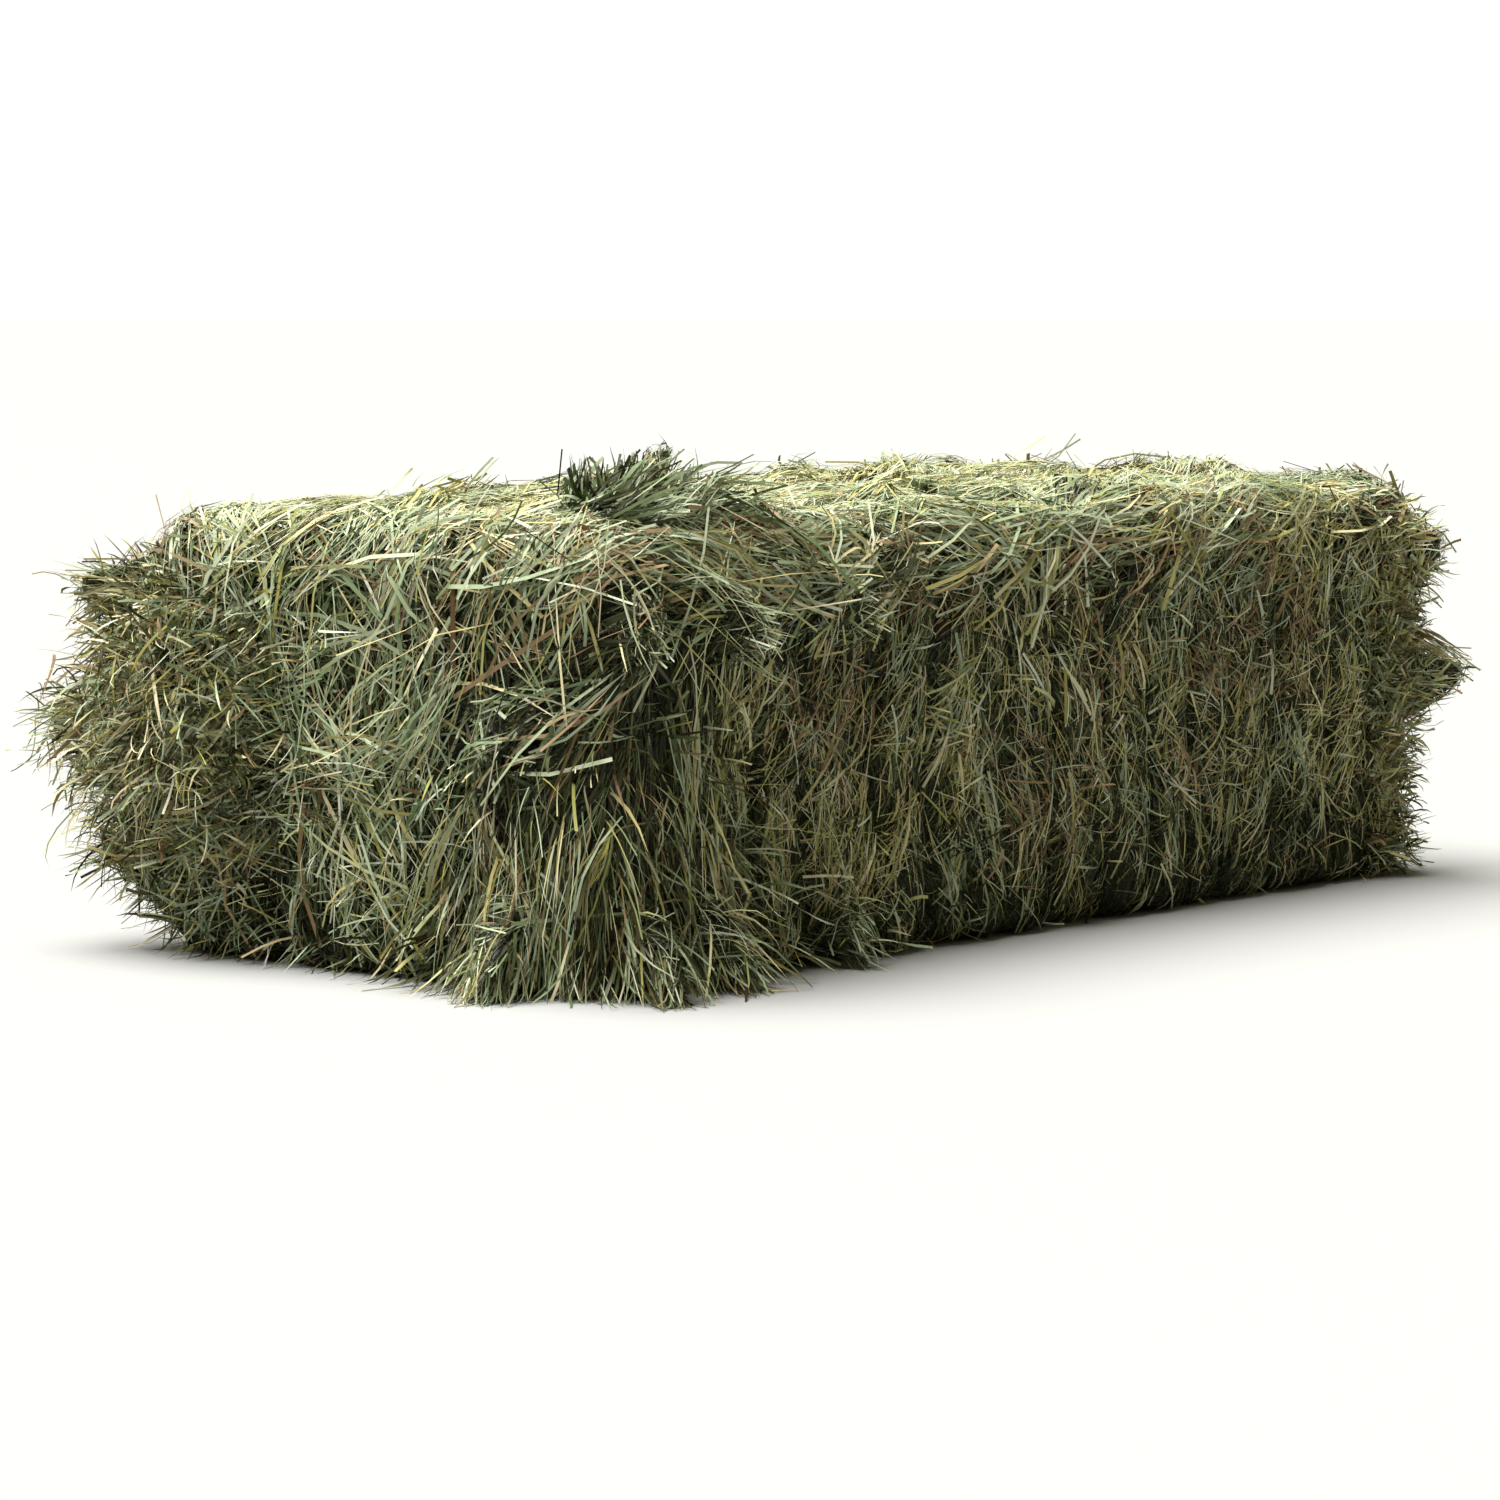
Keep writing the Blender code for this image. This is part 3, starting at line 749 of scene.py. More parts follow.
# %% [markdown]
# Now the blades themselves. The tree scatters points on one flake's part of the skin. Two Voronoi
# patterns part the skin in cells. A large cell is a swirl: its blades share a turn away from the
# grain. A small cell is a bundle: its blades share a kind, a height over the skin and a small turn
# of their own, they fan out a little, and they are drawn together towards the bundle's middle, so
# that dark gaps open between bundles. Where the skin says so, some blades lie wildly across.

# %% Where the blades are, and which way they lie
SPARE = Vector((0.044, 0.026, 0.007))  # how far blades may reach past the solids
REACH_LOW = Vector(cad_box[0]) - SPARE
REACH_HIGH = Vector(cad_box[1]) + SPARE


def scatter(nodes, given, share):
    """Points on the shown part of the skin. The share thins them out from place to place."""
    density = given["Blades per Square Metre"] * share * nodes.named("shown")
    sockets = {"Mesh": given["Geometry"], "Density": density, "Seed": given["Seed"]}
    return nodes.add("GeometryNodeDistributePointsOnFaces", sockets, "Points")


def kept_near(nodes, spot):
    """The spot, drawn in where it is too far from the solid bale. The limit differs from blade to blade."""
    give = nodes.random(0.0, 0.035)
    low = nodes.vector("ADD", REACH_LOW, nodes.vector("SCALE", (1.0, 1.0, 0.0), give))
    high = nodes.vector("SUBTRACT", REACH_HIGH, nodes.vector("SCALE", (1.0, 1.0, 0.3), give))
    return nodes.vector("MINIMUM", nodes.vector("MAXIMUM", spot, low), high)


def cells(nodes, place, size):
    """A Voronoi pattern: three random numbers for each cell, and the cell's middle."""
    look = nodes.add("ShaderNodeTexVoronoi", {"Vector": place, "Scale": 1.0 / size}, "Color")
    return nodes.parts(look), Field(nodes, look.socket.node.outputs["Position"])


def way_of_blades(nodes, given, place, out, coarse, tangle):
    """Which way each blade lies, where its middle is, and the look of its bundle and its swirl."""
    swirl_look, _ = cells(nodes, place, given["Swirl Size"])
    look, middle = cells(nodes, place, given["Bundle Size"])
    turn = ((swirl_look.x - 0.5) * 2.2 + (look.x * 1.1 - 0.55)) * nodes.named("swirl")
    grain = nodes.named_vector("grain")
    flat = nodes.unit(grain - out * nodes.vector("DOT_PRODUCT", grain, out))
    lean = nodes.turn(flat, out, turn)
    across = nodes.cross(out, lean)
    aside = nodes.vector("DOT_PRODUCT", place - middle, across) / given["Bundle Size"]
    fan = aside * (look.y * 1.8 - 0.9) * coarse
    stray = (nodes.random(-0.22, 0.22) + nodes.random(-0.22, 0.22)) * (tangle + 0.15)
    stray = nodes.chance(tangle * 0.42) * nodes.random(-1.4, 1.4) + stray
    centre = place - across * (aside * given["Gather"] * given["Bundle Size"] * coarse)
    return nodes.turn(lean, out, fan + stray), centre, aside, look, swirl_look


print("blades may reach", rounded(SPARE), "m past the solids")

# %% [markdown]
# From its middle each blade reaches both ways along its line, and its ends are pulled part of the
# way down to the nearest skin, so that it follows the round edges. A few blades in a hundred are
# pulled down less. Blades lie in three layers: the deepest ones are nearly black and the low ones are
# dark, both painted shade for the gaps between the outer blades, and the outer ones have the bundle's
# own height. Some bundles lie a little lower as a whole, so more of their blades are dark ones. A few
# blades are stems: longer, thin and pale.

# %% How high the blades lie


def heights(nodes, given, coarse, aside, look):
    """Each blade's height over the skin, the loft there, and whether it is a deep, low or outer one."""
    # Where the skin asks for painted shade, more blades fall into the deep and low layers, whose dark
    # colours are painted shade.
    level = nodes.random(0.0, 1.0) - nodes.named("murk") + (look.z * 0.36 - 0.18)
    deep = level < given["Deep Share"]
    low = level < given["Deep Share"] + given["Low Share"]
    outer = (1.0 - deep) * (low * -0.55 + 1.0)
    crest = (1.0 - aside * aside * 2.6) * (look.z * 0.75 + 0.10)
    height = crest + nodes.random(-0.1, 0.35)
    loft = given["Loft"] * (coarse * 0.78 + 0.22)
    return height * outer * loft + nodes.random(0.0010, 0.0045), loft, deep, low, outer


def down_to_skin(nodes, given, spot, lift, hold):
    """The spot, pulled towards the nearest skin and lifted off it, and which way the skin faces there."""
    nearest = {"Mesh": given["Geometry"], "Sample Position": spot}
    kind = "GeometryNodeSampleNearestSurface"
    skin_place = nodes.add(kind, {**nearest, "Value": nodes.place()}, data_type="FLOAT_VECTOR")
    skin_out = nodes.add(kind, {**nearest, "Value": nodes.named_vector("out")}, data_type="FLOAT_VECTOR")
    skin_out = nodes.unit(skin_out)
    return nodes.blend(spot, skin_place, hold) + skin_out * lift, skin_out


def both_ends(nodes, given, centre, reach, height, loft, outer, hold):
    """The blade's root and tip, each with the way the skin faces there."""
    ends = []
    for end, tuck in ((centre - reach, -0.0030), (centre + reach, -0.0015)):
        lifted = (nodes.random(0.0, 1.0) > 0.78) * outer * nodes.random(0.0, 0.75) * loft
        ends += down_to_skin(nodes, given, end, height * 0.82 + tuck + lifted, hold)
    return ends


def kind_of_blade(nodes, look, swirl_look, stem, low, deep):
    """The blade's place in the colour map: its bundle's kind, unless it is dry, brown, a stem, low or deep.
    Low and deep ones take the map's dark end, which is painted shade.
    """
    kind = look.y * 0.26 + nodes.random(0.18, 0.38)
    dry = nodes.chance(nodes.named("bleach") * (swirl_look.y * 1.2 + 0.4))
    kind = nodes.lerp(kind, nodes.random(0.58, 0.89), dry)
    brown = nodes.chance(nodes.named("brown") * ((swirl_look.z > 0.66) * 2.6 + 0.35))
    kind = nodes.lerp(kind, nodes.random(0.93, 1.0), brown)
    kind = nodes.lerp(kind, nodes.random(0.80, 0.90), stem)
    kind = nodes.lerp(kind, nodes.random(0.08, 0.27), low)
    return nodes.lerp(kind, nodes.random(0.0, 0.10), deep)


print("blades lie in three layers: deep, low and outer")

# %% Blades strewn over the skin
STREWN_INPUTS = {
    "Flake": "Int", "Blades per Square Metre": "Float", "Blade Length": "Float", "Blade Width": "Float",
    "Loft": "Float", "Bundle Size": "Float", "Swirl Size": "Float", "Gather": "Float",
    "Free Share": "Float", "Deep Share": "Float", "Low Share": "Float", "Stem Share": "Float",
    "Rows": "Int", "Seed": "Int", "Material": "Material",
}
STREWN = {
    "Blades per Square Metre": 68000.0, "Blade Length": 0.112, "Blade Width": 0.0027, "Loft": 0.019,
    "Bundle Size": 0.028, "Swirl Size": 0.085, "Gather": 0.80, "Free Share": 0.03,
    "Deep Share": 0.38, "Low Share": 0.20, "Stem Share": 0.05, "Rows": 4, "Seed": 5, "Material": blade_coat,
}


def strewing_tree():
    nodes, given = new_tree("strew_hay", STREWN_INPUTS)
    mine = nodes.math("COMPARE", nodes.named("flake"), given["Flake"], 0.1)
    points = scatter(nodes, given, nodes.named("cover") * mine)
    place, out = nodes.place(), nodes.unit(nodes.named_vector("out"))
    coarse, tangle = nodes.named("coarse"), nodes.named("tangle")
    lean, centre, aside, look, swirl_look = way_of_blades(nodes, given, place, out, coarse, tangle)

    long = nodes.math("POWER", nodes.random(0.0, 1.0), 2.0) * 1.55 + 0.32
    broad = long * 0.40 + 0.62
    stem = nodes.chance((coarse * 0.6 + 0.4) * given["Stem Share"])
    half = long * (coarse * 0.75 + 0.25) * (stem * 0.6 + 1.0) * given["Blade Length"] * 0.5
    untidy = nodes.math("MAXIMUM", (tangle - 0.8) * 0.20, 0.0)
    free = nodes.chance(given["Free Share"] + untidy)
    hold = free * coarse * -0.7 + (coarse * 0.54 + 0.50)
    height, loft, deep, low, outer = heights(nodes, given, coarse, aside, look)
    ends = both_ends(nodes, given, centre, lean * half, height, loft, outer, hold)
    root, root_out, tip, tip_out = ends
    bow = half * (nodes.random(-0.34, 0.34) * (coarse * 0.9 + 0.1))
    mid = centre + out * height + nodes.cross(out, lean) * bow
    pull = mid * 2.0 - (root + tip) * 0.5

    leafy = nodes.random(0.0, 1.0) > coarse * -0.45 + 0.78
    wide = nodes.lerp(nodes.random(0.30, 0.55), nodes.random(0.65, 1.35), leafy)
    wide = nodes.lerp(wide, 0.42, stem) * broad * (coarse * 0.40 + 0.60) * given["Blade Width"]
    kind = kind_of_blade(nodes, look, swirl_look, stem, low, deep)
    taper = (nodes.random(0.0, 1.0) > 0.45) * 0.9
    upward = nodes.math("MAXIMUM", nodes.parts(out).z, 0.0)
    roll = nodes.random(-1.0, 1.0) * (upward * -0.82 + 1.0)
    twist = roll * nodes.random(-1.6, 1.6)
    vectors = (root, pull, tip, root_out, tip_out)
    grow_ribbons(nodes, points, given, vectors, (wide, roll, twist, taper, kind))
    return nodes.tree


strewing = strewing_tree()
hay = [
    as_hay(run_tree(strewing, f"hay_{name}", skin, {**STREWN, "Flake": index}))
    for index, name in enumerate(flakes)
]
print("strewn hay:", [2 * len(piece.data.polygons) // 1000 for piece in hay], "thousand triangles")

# %% [markdown]
# Loose blades stick out of the skin all over a bale. They make its outline soft. Each one is rooted
# a little under the skin, leaves it and leans over in the direction that the skin's sway gives,
# with some scatter, and then sinks by its own weight, the more so the longer it is. Where the bale
# burst, blades hold one another up, so their roots may be off the skin.

# %% Blades that stick out
LOOSE_INPUTS = {
    "Blades per Square Metre": "Float", "Blade Length": "Float", "Blade Width": "Float",
    "Bundle Size": "Float", "Scatter": "Float", "Droop": "Float",
    "Rows": "Int", "Seed": "Int", "Material": "Material",
}
LOOSE = {
    "Blades per Square Metre": 30000.0, "Blade Length": 0.085, "Blade Width": 0.0027, "Bundle Size": 0.022,
    "Scatter": 1.7, "Droop": 1.6, "Rows": 5, "Seed": 11, "Material": blade_coat,
}


def loose_tree():
    nodes, given = new_tree("loose_hay", LOOSE_INPUTS)
    points = scatter(nodes, given, nodes.named("loose"))
    place = nodes.place()
    out, tangle = nodes.unit(nodes.named_vector("out")), nodes.named("tangle")
    look, _ = cells(nodes, place, given["Bundle Size"])

    shared = nodes.combined(look.x, look.y, look.z) - (0.5, 0.5, 0.5)
    own = nodes.combined(*[nodes.random(-0.5, 0.5) for _ in range(3)])
    aim = (shared * 0.9 + own * 1.1) * (tangle * given["Scatter"])
    aim = nodes.unit(nodes.named_vector("sway") + aim)
    inward = nodes.math("MINIMUM", nodes.vector("DOT_PRODUCT", aim, out), 0.0)
    aim = aim - out * (inward * 1.3)

    long = nodes.random(0.35, 1.25) * nodes.named("shag") * given["Blade Length"]
    sink = nodes.combined(z=long * long * given["Droop"] * -1.0)
    held = nodes.named("puff") * nodes.random(0.0, 1.0)
    root = kept_near(nodes, place - out * 0.004 + nodes.named_vector("out") * held)
    tip = kept_near(nodes, root + aim * long + sink)
    pull = root + (aim * 0.75 + out * 0.25) * (long * 0.5)
    pull = kept_near(nodes, pull + own * (long * (tangle * 0.4 + 0.1)))

    wide = nodes.random(0.3, 1.0) * nodes.random(0.5, 1.3) * given["Blade Width"]
    kind = look.y * 0.18 + nodes.random(0.22, 0.42)
    odd = nodes.chance(nodes.named("brown") * 1.6 + 0.30)
    kind = nodes.lerp(kind, nodes.random(0.58, 1.0), odd)
    # A share of loose blades, larger where the skin asks for painted shade, takes dark colours as painted
    # shade.
    dark = nodes.chance(nodes.named("murk") * 0.8 + 0.20)
    kind = nodes.lerp(kind, nodes.random(0.10, 0.24), dark)
    taper = (nodes.random(0.0, 1.0) > 0.3) * 0.9
    numbers = (wide, nodes.random(-1.5, 1.5), nodes.random(-1.8, 1.8), taper, kind)
    grow_ribbons(nodes, points, given, (root, pull, tip, out, out), numbers)
    return nodes.tree


loose = as_hay(run_tree(loose_tree(), "loose_blades", skin, LOOSE))
print("loose blades:", 2 * len(loose.data.polygons), "triangles")

# %% [markdown]
# Some bunches are there by chance, and they give this bale its own face: a dark fan of cut leaves on
# top near the corner, stems that hang over the long side, a spike at the far end. No random pattern
# would put them in the right places, so they are listed one by one. Each row of the list is a guide:
# where the bunch is rooted, which way and how far it reaches, and how many blades it has. Each solid
# tuft of a flake gets two guides, whose blades hide it. The tree turns every guide into its blades.

# %% Tufts to hide, and bunches placed by hand
GUIDE_NUMBERS = ("count", "spread", "scatter", "droop", "broad", "low_kind", "high_kind")
# A lowest kind under 0.16 gives part of a bunch the colour map's near-black and dark olive, which are
# painted shade.
TUFTS = (
    # where each solid tuft is rooted, its tip, how many blades hide it, their lowest and highest kind
    ((-0.495, -0.152, 0.370), (-0.501, -0.160, 0.410), 80, 0.05, 0.34),
    ((-0.428, -0.152, 0.370), (-0.392, -0.150, 0.427), 40, 0.02, 0.22),
    ((-0.463, -0.220, 0.370), (-0.425, -0.224, 0.400), 70, 0.06, 0.40),
    ((-0.545, 0.270, 0.302), (-0.596, 0.318, 0.306), 90, 0.30, 1.00),
    ((-0.545, 0.270, 0.182), (-0.612, 0.338, 0.190), 90, 0.30, 1.00),
    ((-0.545, 0.270, 0.051), (-0.590, 0.304, 0.092), 40, 0.20, 0.90),
    ((-0.580, -0.165, 0.051), (-0.640, -0.182, 0.012), 80, 0.12, 0.44),
    ((-0.540, -0.245, 0.051), (-0.556, -0.310, 0.012), 80, 0.10, 0.34),
    ((-0.450, -0.245, 0.051), (-0.462, -0.296, 0.012), 80, 0.10, 0.34),
    ((-0.285, -0.245, 0.051), (-0.290, -0.280, 0.014), 60, 0.10, 0.36),
    ((-0.540, -0.245, 0.302), (-0.560, -0.278, 0.280), 60, 0.16, 0.80),
    ((-0.450, -0.245, 0.302), (-0.420, -0.284, 0.280), 60, 0.16, 0.80),
    ((-0.285, -0.245, 0.302), (-0.270, -0.272, 0.284), 60, 0.16, 0.80),
    ((0.550, -0.245, 0.182), (0.592, -0.290, 0.190), 30, 0.30, 1.00),
    ((0.550, -0.245, 0.302), (0.584, -0.270, 0.308), 12, 0.30, 1.00),
    ((0.580, -0.160, 0.117), (0.618, -0.180, 0.105), 40, 0.30, 1.00),
    ((0.580, 0.045, 0.243), (0.620, 0.052, 0.256), 60, 0.22, 0.90),
    ((0.490, 0.245, 0.243), (0.484, 0.285, 0.236), 60, 0.22, 0.90),
    ((0.065, 0.245, 0.182), (0.070, 0.284, 0.172), 60, 0.22, 0.90),
)
BUNCHES = (
    # root, reach, then count, spread, scatter, droop, broad (mm), lowest and highest kind
    ((-0.500, -0.175, 0.374), (-0.020, 0.000, 0.026), 60, 0.018, 0.60, 0.0, 3.4, 0.04, 0.34),
    ((-0.490, -0.185, 0.374), (0.040, 0.000, 0.030), 60, 0.022, 0.60, 0.0, 3.4, 0.08, 0.46),
    ((-0.474, -0.165, 0.378), (0.020, 0.000, 0.036), 50, 0.014, 0.45, 0.0, 3.2, 0.03, 0.32),
    ((-0.448, -0.165, 0.378), (0.026, 0.000, 0.034), 50, 0.014, 0.45, 0.0, 2.6, 0.03, 0.32),
    ((-0.540, -0.205, 0.374), (0.120, 0.010, 0.020), 90, 0.020, 0.24, 0.0, 2.4, 0.05, 0.36),
    ((-0.500, -0.190, 0.378), (0.110, 0.020, 0.012), 80, 0.016, 0.26, 0.0, 2.2, 0.04, 0.30),
    ((-0.440, -0.200, 0.382), (0.120, 0.010, 0.004), 90, 0.020, 0.26, 0.0, 2.2, 0.06, 0.38),
    ((-0.420, -0.170, 0.386), (0.080, 0.010, -0.002), 50, 0.014, 0.34, 0.0, 2.0, 0.08, 0.46),
    ((-0.430, -0.160, 0.385), (0.036, 0.000, 0.046), 8, 0.006, 0.16, 0.0, 1.8, 0.05, 0.30),
    ((-0.460, -0.160, 0.392), (0.016, 0.000, 0.044), 3, 0.004, 0.25, 0.0, 1.6, 0.08, 0.24),
    ((-0.378, -0.160, 0.386), (0.022, 0.000, 0.044), 6, 0.008, 0.30, 0.0, 1.6, 0.10, 0.40),
    ((-0.482, -0.205, 0.378), (0.088, 0.010, 0.018), 8, 0.006, 0.20, 0.0, 2.0, 0.70, 0.82),
    ((-0.312, 0.195, 0.366), (0.034, -0.006, 0.012), 60, 0.020, 0.40, 0.0, 1.8, 0.30, 0.84),
    ((-0.258, 0.195, 0.366), (0.030, -0.006, 0.012), 50, 0.020, 0.40, 0.0, 1.8, 0.30, 0.84),
    ((0.556, 0.215, 0.368), (0.066, -0.020, 0.004), 9, 0.008, 0.20, -3.6, 1.8, 0.30, 0.90),
    ((0.437, -0.100, 0.366), (0.014, 0.000, 0.018), 12, 0.010, 0.50, 0.0, 2.0, 0.20, 0.80),
    ((-0.600, -0.262, 0.350), (0.075, -0.022, -0.052), 3, 0.016, 0.30, 1.0, 1.5, 0.70, 0.90),
    ((-0.560, -0.262, 0.338), (0.135, -0.026, -0.072), 3, 0.016, 0.22, 0.5, 1.6, 0.70, 0.90),
    ((-0.575, -0.262, 0.345), (0.012, -0.028, -0.075), 6, 0.018, 0.30, 0.5, 1.5, 0.50, 0.90),
    ((-0.500, -0.255, 0.352), (0.110, -0.022, -0.040), 5, 0.020, 0.30, 1.0, 1.7, 0.40, 0.86),
    ((-0.610, -0.100, 0.330), (-0.002, -0.016, 0.044), 9, 0.018, 0.24, 0.0, 2.4, 0.26, 0.62),
    ((-0.606, -0.130, 0.335), (0.016, -0.040, 0.048), 12, 0.020, 0.24, 0.0, 2.4, 0.26, 0.62),
    ((-0.606, -0.175, 0.340), (0.012, -0.026, 0.040), 9, 0.016, 0.30, 0.0, 2.2, 0.26, 0.60),
    ((-0.600, 0.081, 0.166), (-0.012, -0.158, 0.073), 2, 0.003, 0.04, 0.0, 2.4, 0.80, 0.88),
    ((0.562, -0.252, 0.232), (0.072, -0.032, -0.042), 30, 0.007, 0.08, 0.5, 1.8, 0.50, 1.00),
    ((0.568, -0.230, 0.330), (0.050, -0.020, 0.008), 8, 0.012, 0.30, 0.0, 1.8, 0.30, 0.80),
)


def bunches_on_tuft(skin_place, tip, count, *kinds):
    """Two bunches that hide a solid tuft: one from its root, and one from its upper half."""
    root, way = Vector(skin_place), Vector(tip) - Vector(skin_place)
    return (
        (tuple(root - way * 0.20), tuple(way * 1.20), count, 0.015, 0.24, 0.5, 1.8, *kinds),
        (tuple(root + way * 0.45), tuple(way * 0.64), count * 0.7, 0.009, 0.50, 0.5, 1.6, *kinds),
    )


def guide_points(rows):
    mesh = bpy.data.meshes.new("guides")
    mesh.from_pydata([row[0] for row in rows], [], [])
    add_values(mesh, "reach", "FLOAT_VECTOR", "POINT", [row[1] for row in rows])
    for column, name in enumerate(GUIDE_NUMBERS, start=2):
        add_values(mesh, name, "FLOAT", "POINT", [row[column] for row in rows])
    return add_object("guides", mesh)


guides = guide_points([*BUNCHES, *(bunch for tuft in TUFTS for bunch in bunches_on_tuft(*tuft))])
print(len(guides.data.vertices), "guides")

# %% The blades of each bunch


def bunch_tree():
    nodes, given = new_tree("bunches", {"Rows": "Int", "Seed": "Int", "Material": "Material"})
    points = nodes.add("GeometryNodeMeshToPoints", {"Mesh": given["Geometry"]})
    sockets = {"Geometry": points, "Amount": nodes.named("count")}
    copies = nodes.add("GeometryNodeDuplicateElements", sockets, "Geometry", domain="POINT")

    def any_way():
        return nodes.combined(*[nodes.random(-1.0, 1.0) for _ in range(3)])

    root = nodes.place() + any_way() * nodes.named("spread")
    reach = nodes.named_vector("reach") * nodes.random(0.6, 1.1)
    long = nodes.vector("LENGTH", reach)
    reach = reach + any_way() * (nodes.named("scatter") * long)
    sink = nodes.combined(z=long * long * nodes.named("droop") * -1.0)
    tip = root + reach + sink
    pull = root + reach * 0.5 + any_way() * (long * 0.20)
    pull = kept_near(nodes, pull - sink * 0.6)
    tip = kept_near(nodes, tip)
    wide = nodes.random(0.00045, 0.00115) * nodes.named("broad")
    kind = nodes.lerp(nodes.named("low_kind"), nodes.named("high_kind"), nodes.random(0.0, 1.0))
    taper = (nodes.random(0.0, 1.0) > 0.5) * 0.85
    outward = nodes.unit(any_way() + (-0.6, -0.8, 0.5))
    numbers = (wide, nodes.random(-0.6, 0.6), nodes.random(-1.2, 1.2), taper, kind)
    grow_ribbons(nodes, copies, given, (root, pull, tip, outward, outward), numbers)
    return nodes.tree


bunches = run_tree(bunch_tree(), "bunches", guides, {"Rows": 5, "Seed": 3, "Material": blade_coat})
as_hay(bunches, ("reach", *GUIDE_NUMBERS))
bpy.data.objects.remove(guides)
print(len(BUNCHES), "bunches and", len(TUFTS), "tufts:", 2 * len(bunches.data.polygons), "triangles")

# %% [markdown]
# The string is baler twine: three plies of faded blue plastic fibre, twisted together. A rope like
# this can be made of three tubes that wind round one another. Here it is cheaper: one tube whose
# cross-section has three lobes, and the section turns as it runs along the path. The loop, the knot
# and the two cut ends all come out of that one tree. The hay closes over most of the string, and it
# shows only here and there on top.

# %% The strings' paths
TWINE_REACH = 0.5715
TWINE_TOP = 0.3615
TWINE_FOOT = 0.005
TWINE_BEND = 0.050
TWINE_COLOURS = (
    (0.25, (0.030, 0.050, 0.150)),
    (0.50, (0.085, 0.120, 0.270)),
    (0.75, (0.240, 0.290, 0.420)),
)
KNOT = Vector((0.395, 0.0, TWINE_TOP + 0.005))
KNOT_SIZE = 0.0019
TAILS = ((1, 0.052), (-1, 0.038))  # which way each tail runs, and its length


def loop_path():
    """The string's way round the bale: four bends, joined by straights."""
    x, top, foot = TWINE_REACH - TWINE_BEND, TWINE_TOP - TWINE_BEND, TWINE_FOOT + TWINE_BEND
    points = []
    for cx, cz, quarter in ((x, top, 0), (-x, top, 1), (-x, foot, 2), (x, foot, 3)):
        for step in range(9):
            turn = math.pi / 2 * (quarter + step / 8)
            points.append(Vector((cx + TWINE_BEND * math.cos(turn), 0.0, cz + TWINE_BEND * math.sin(turn))))
    return points


def knot_path():
    """An overhand knot, pulled tight."""
    turns = [2 * math.pi * step / 48 for step in range(48)]
    return [KNOT + KNOT_SIZE * Vector((
        1.35 * (math.sin(turn) + 2 * math.sin(2 * turn)),
        math.cos(turn) - 2 * math.cos(2 * turn),
        -0.9 * math.sin(3 * turn),
    )) for turn in turns]


def tail_path(way, long):
    shares = [step / 12 for step in range(13)]
    return [KNOT + Vector((
        way * long * share,
        0.005 * way * math.sin(2.4 * share),
        0.004 * math.sin(math.pi * share) + 0.002 * share,
    )) for share in shares]


def string_paths(y):
    """All paths of one string, as a mesh of edges. The loop and the knot are closed."""
    paths = [(loop_path(), True), (knot_path(), True)] + [(tail_path(*tail), False) for tail in TAILS]
    places, edges = [], []
    for points, closed in paths:
        first = len(places)
        last = first + len(points) - 1
        places += [point + Vector((0.0, y, 0.0)) for point in points]
        edges += [(i, i + 1) for i in range(first, last)] + [(last, first)] * closed
    mesh = bpy.data.meshes.new("paths")
    mesh.from_pydata(places, edges, [])
    return add_object("paths", mesh)


loop = loop_path()
loop_length = sum((b - a).length for a, b in zip(loop, loop[1:] + loop[:1]))
print("one loop of string is", round(loop_length, 2), "m long")

# %% The two strings
TWINE = {"Radius": 0.00225, "Lay Length": 0.017, "Step": 0.0026, "Sides": 9}


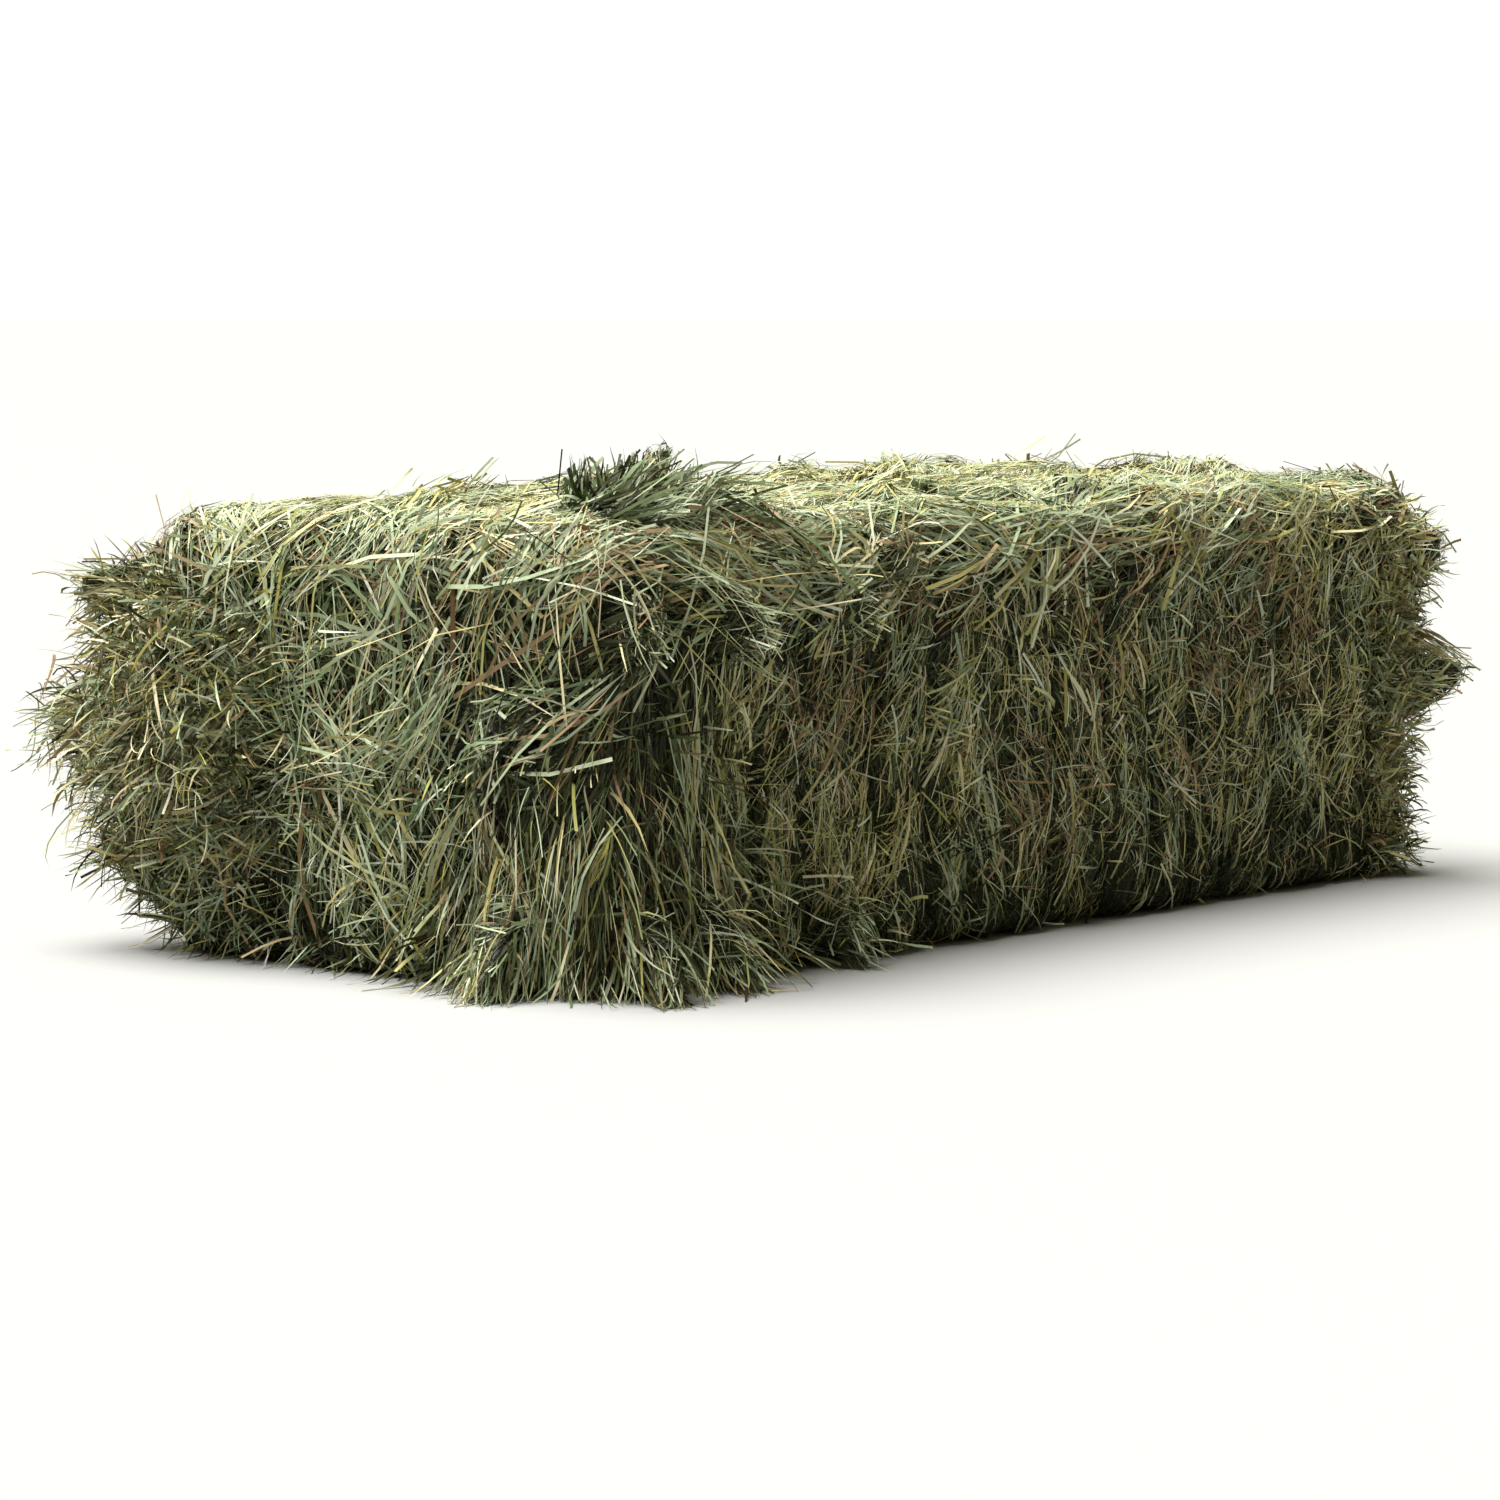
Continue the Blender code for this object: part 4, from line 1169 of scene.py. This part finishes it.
def twine_material():
    coat, nodes, shader = new_coat("blue_twine")
    place = nodes.add("ShaderNodeTexCoord", output="Object")
    fibres = nodes.add("ShaderNodeTexNoise", {"Vector": place, "Scale": 900.0, "Detail": 2.0}, "Fac")
    faded = nodes.add("ShaderNodeTexNoise", {"Vector": place, "Scale": 14.0, "Detail": 3.0}, "Fac")
    nodes.fill(shader, {
        "Base Color": nodes.ramp(fibres * 0.6 + faded * 0.4, TWINE_COLOURS),
        "Roughness": fibres * 0.25 + 0.45,
        "Normal": nodes.add("ShaderNodeBump", {"Height": fibres, "Distance": 0.0006, "Strength": 0.6}),
    })
    return coat


def twine_tree():
    nodes, given = new_tree("three_ply_twine", {
        "Radius": "Float", "Lay Length": "Float", "Step": "Float", "Sides": "Int", "Material": "Material",
    })
    curves = nodes.add("GeometryNodeMeshToCurve", {"Mesh": given["Geometry"]})
    steps = {"Curve": curves, "Length": given["Step"]}
    curves = nodes.add("GeometryNodeResampleCurve", steps, mode="LENGTH")
    run = nodes.add("GeometryNodeSplineParameter", output="Length")
    turned = run / given["Lay Length"] * (2 * math.pi)
    curves = nodes.add("GeometryNodeSetCurveTilt", {"Curve": curves, "Tilt": turned})
    circle = nodes.add("GeometryNodeCurvePrimitiveCircle", {"Resolution": given["Sides"], "Radius": 1.0})
    spot = nodes.place()
    part = nodes.parts(spot)
    angle = nodes.math("ARCTAN2", part.y, part.x)
    lobe = nodes.math("ABSOLUTE", nodes.math("COSINE", angle * 1.5))
    size = (lobe * 0.34 + 0.66) * given["Radius"]
    section = nodes.add("GeometryNodeSetPosition", {"Geometry": circle, "Position": spot * size})
    rope = {"Curve": curves, "Profile Curve": section, "Fill Caps": True}
    rope = nodes.add("GeometryNodeCurveToMesh", rope)
    coated = nodes.add("GeometryNodeSetMaterial", {"Geometry": rope, "Material": given["Material"]})
    nodes.add("NodeGroupOutput", {0: coated})
    return nodes.tree


TWINE["Material"] = twine_material()
rope_tree = twine_tree()
for name, y in (("twine_near", -STRING_Y), ("twine_far", STRING_Y)):
    paths = string_paths(y)
    string = run_tree(rope_tree, f"{name}_string", paths, TWINE)
    bpy.data.objects.remove(paths)
    string.data.shade_smooth()
    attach(string, "root")
    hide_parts(name)
    print(string.name, 2 * len(string.data.polygons), "triangles")

# %% The last step
bpy.data.objects.remove(skin)
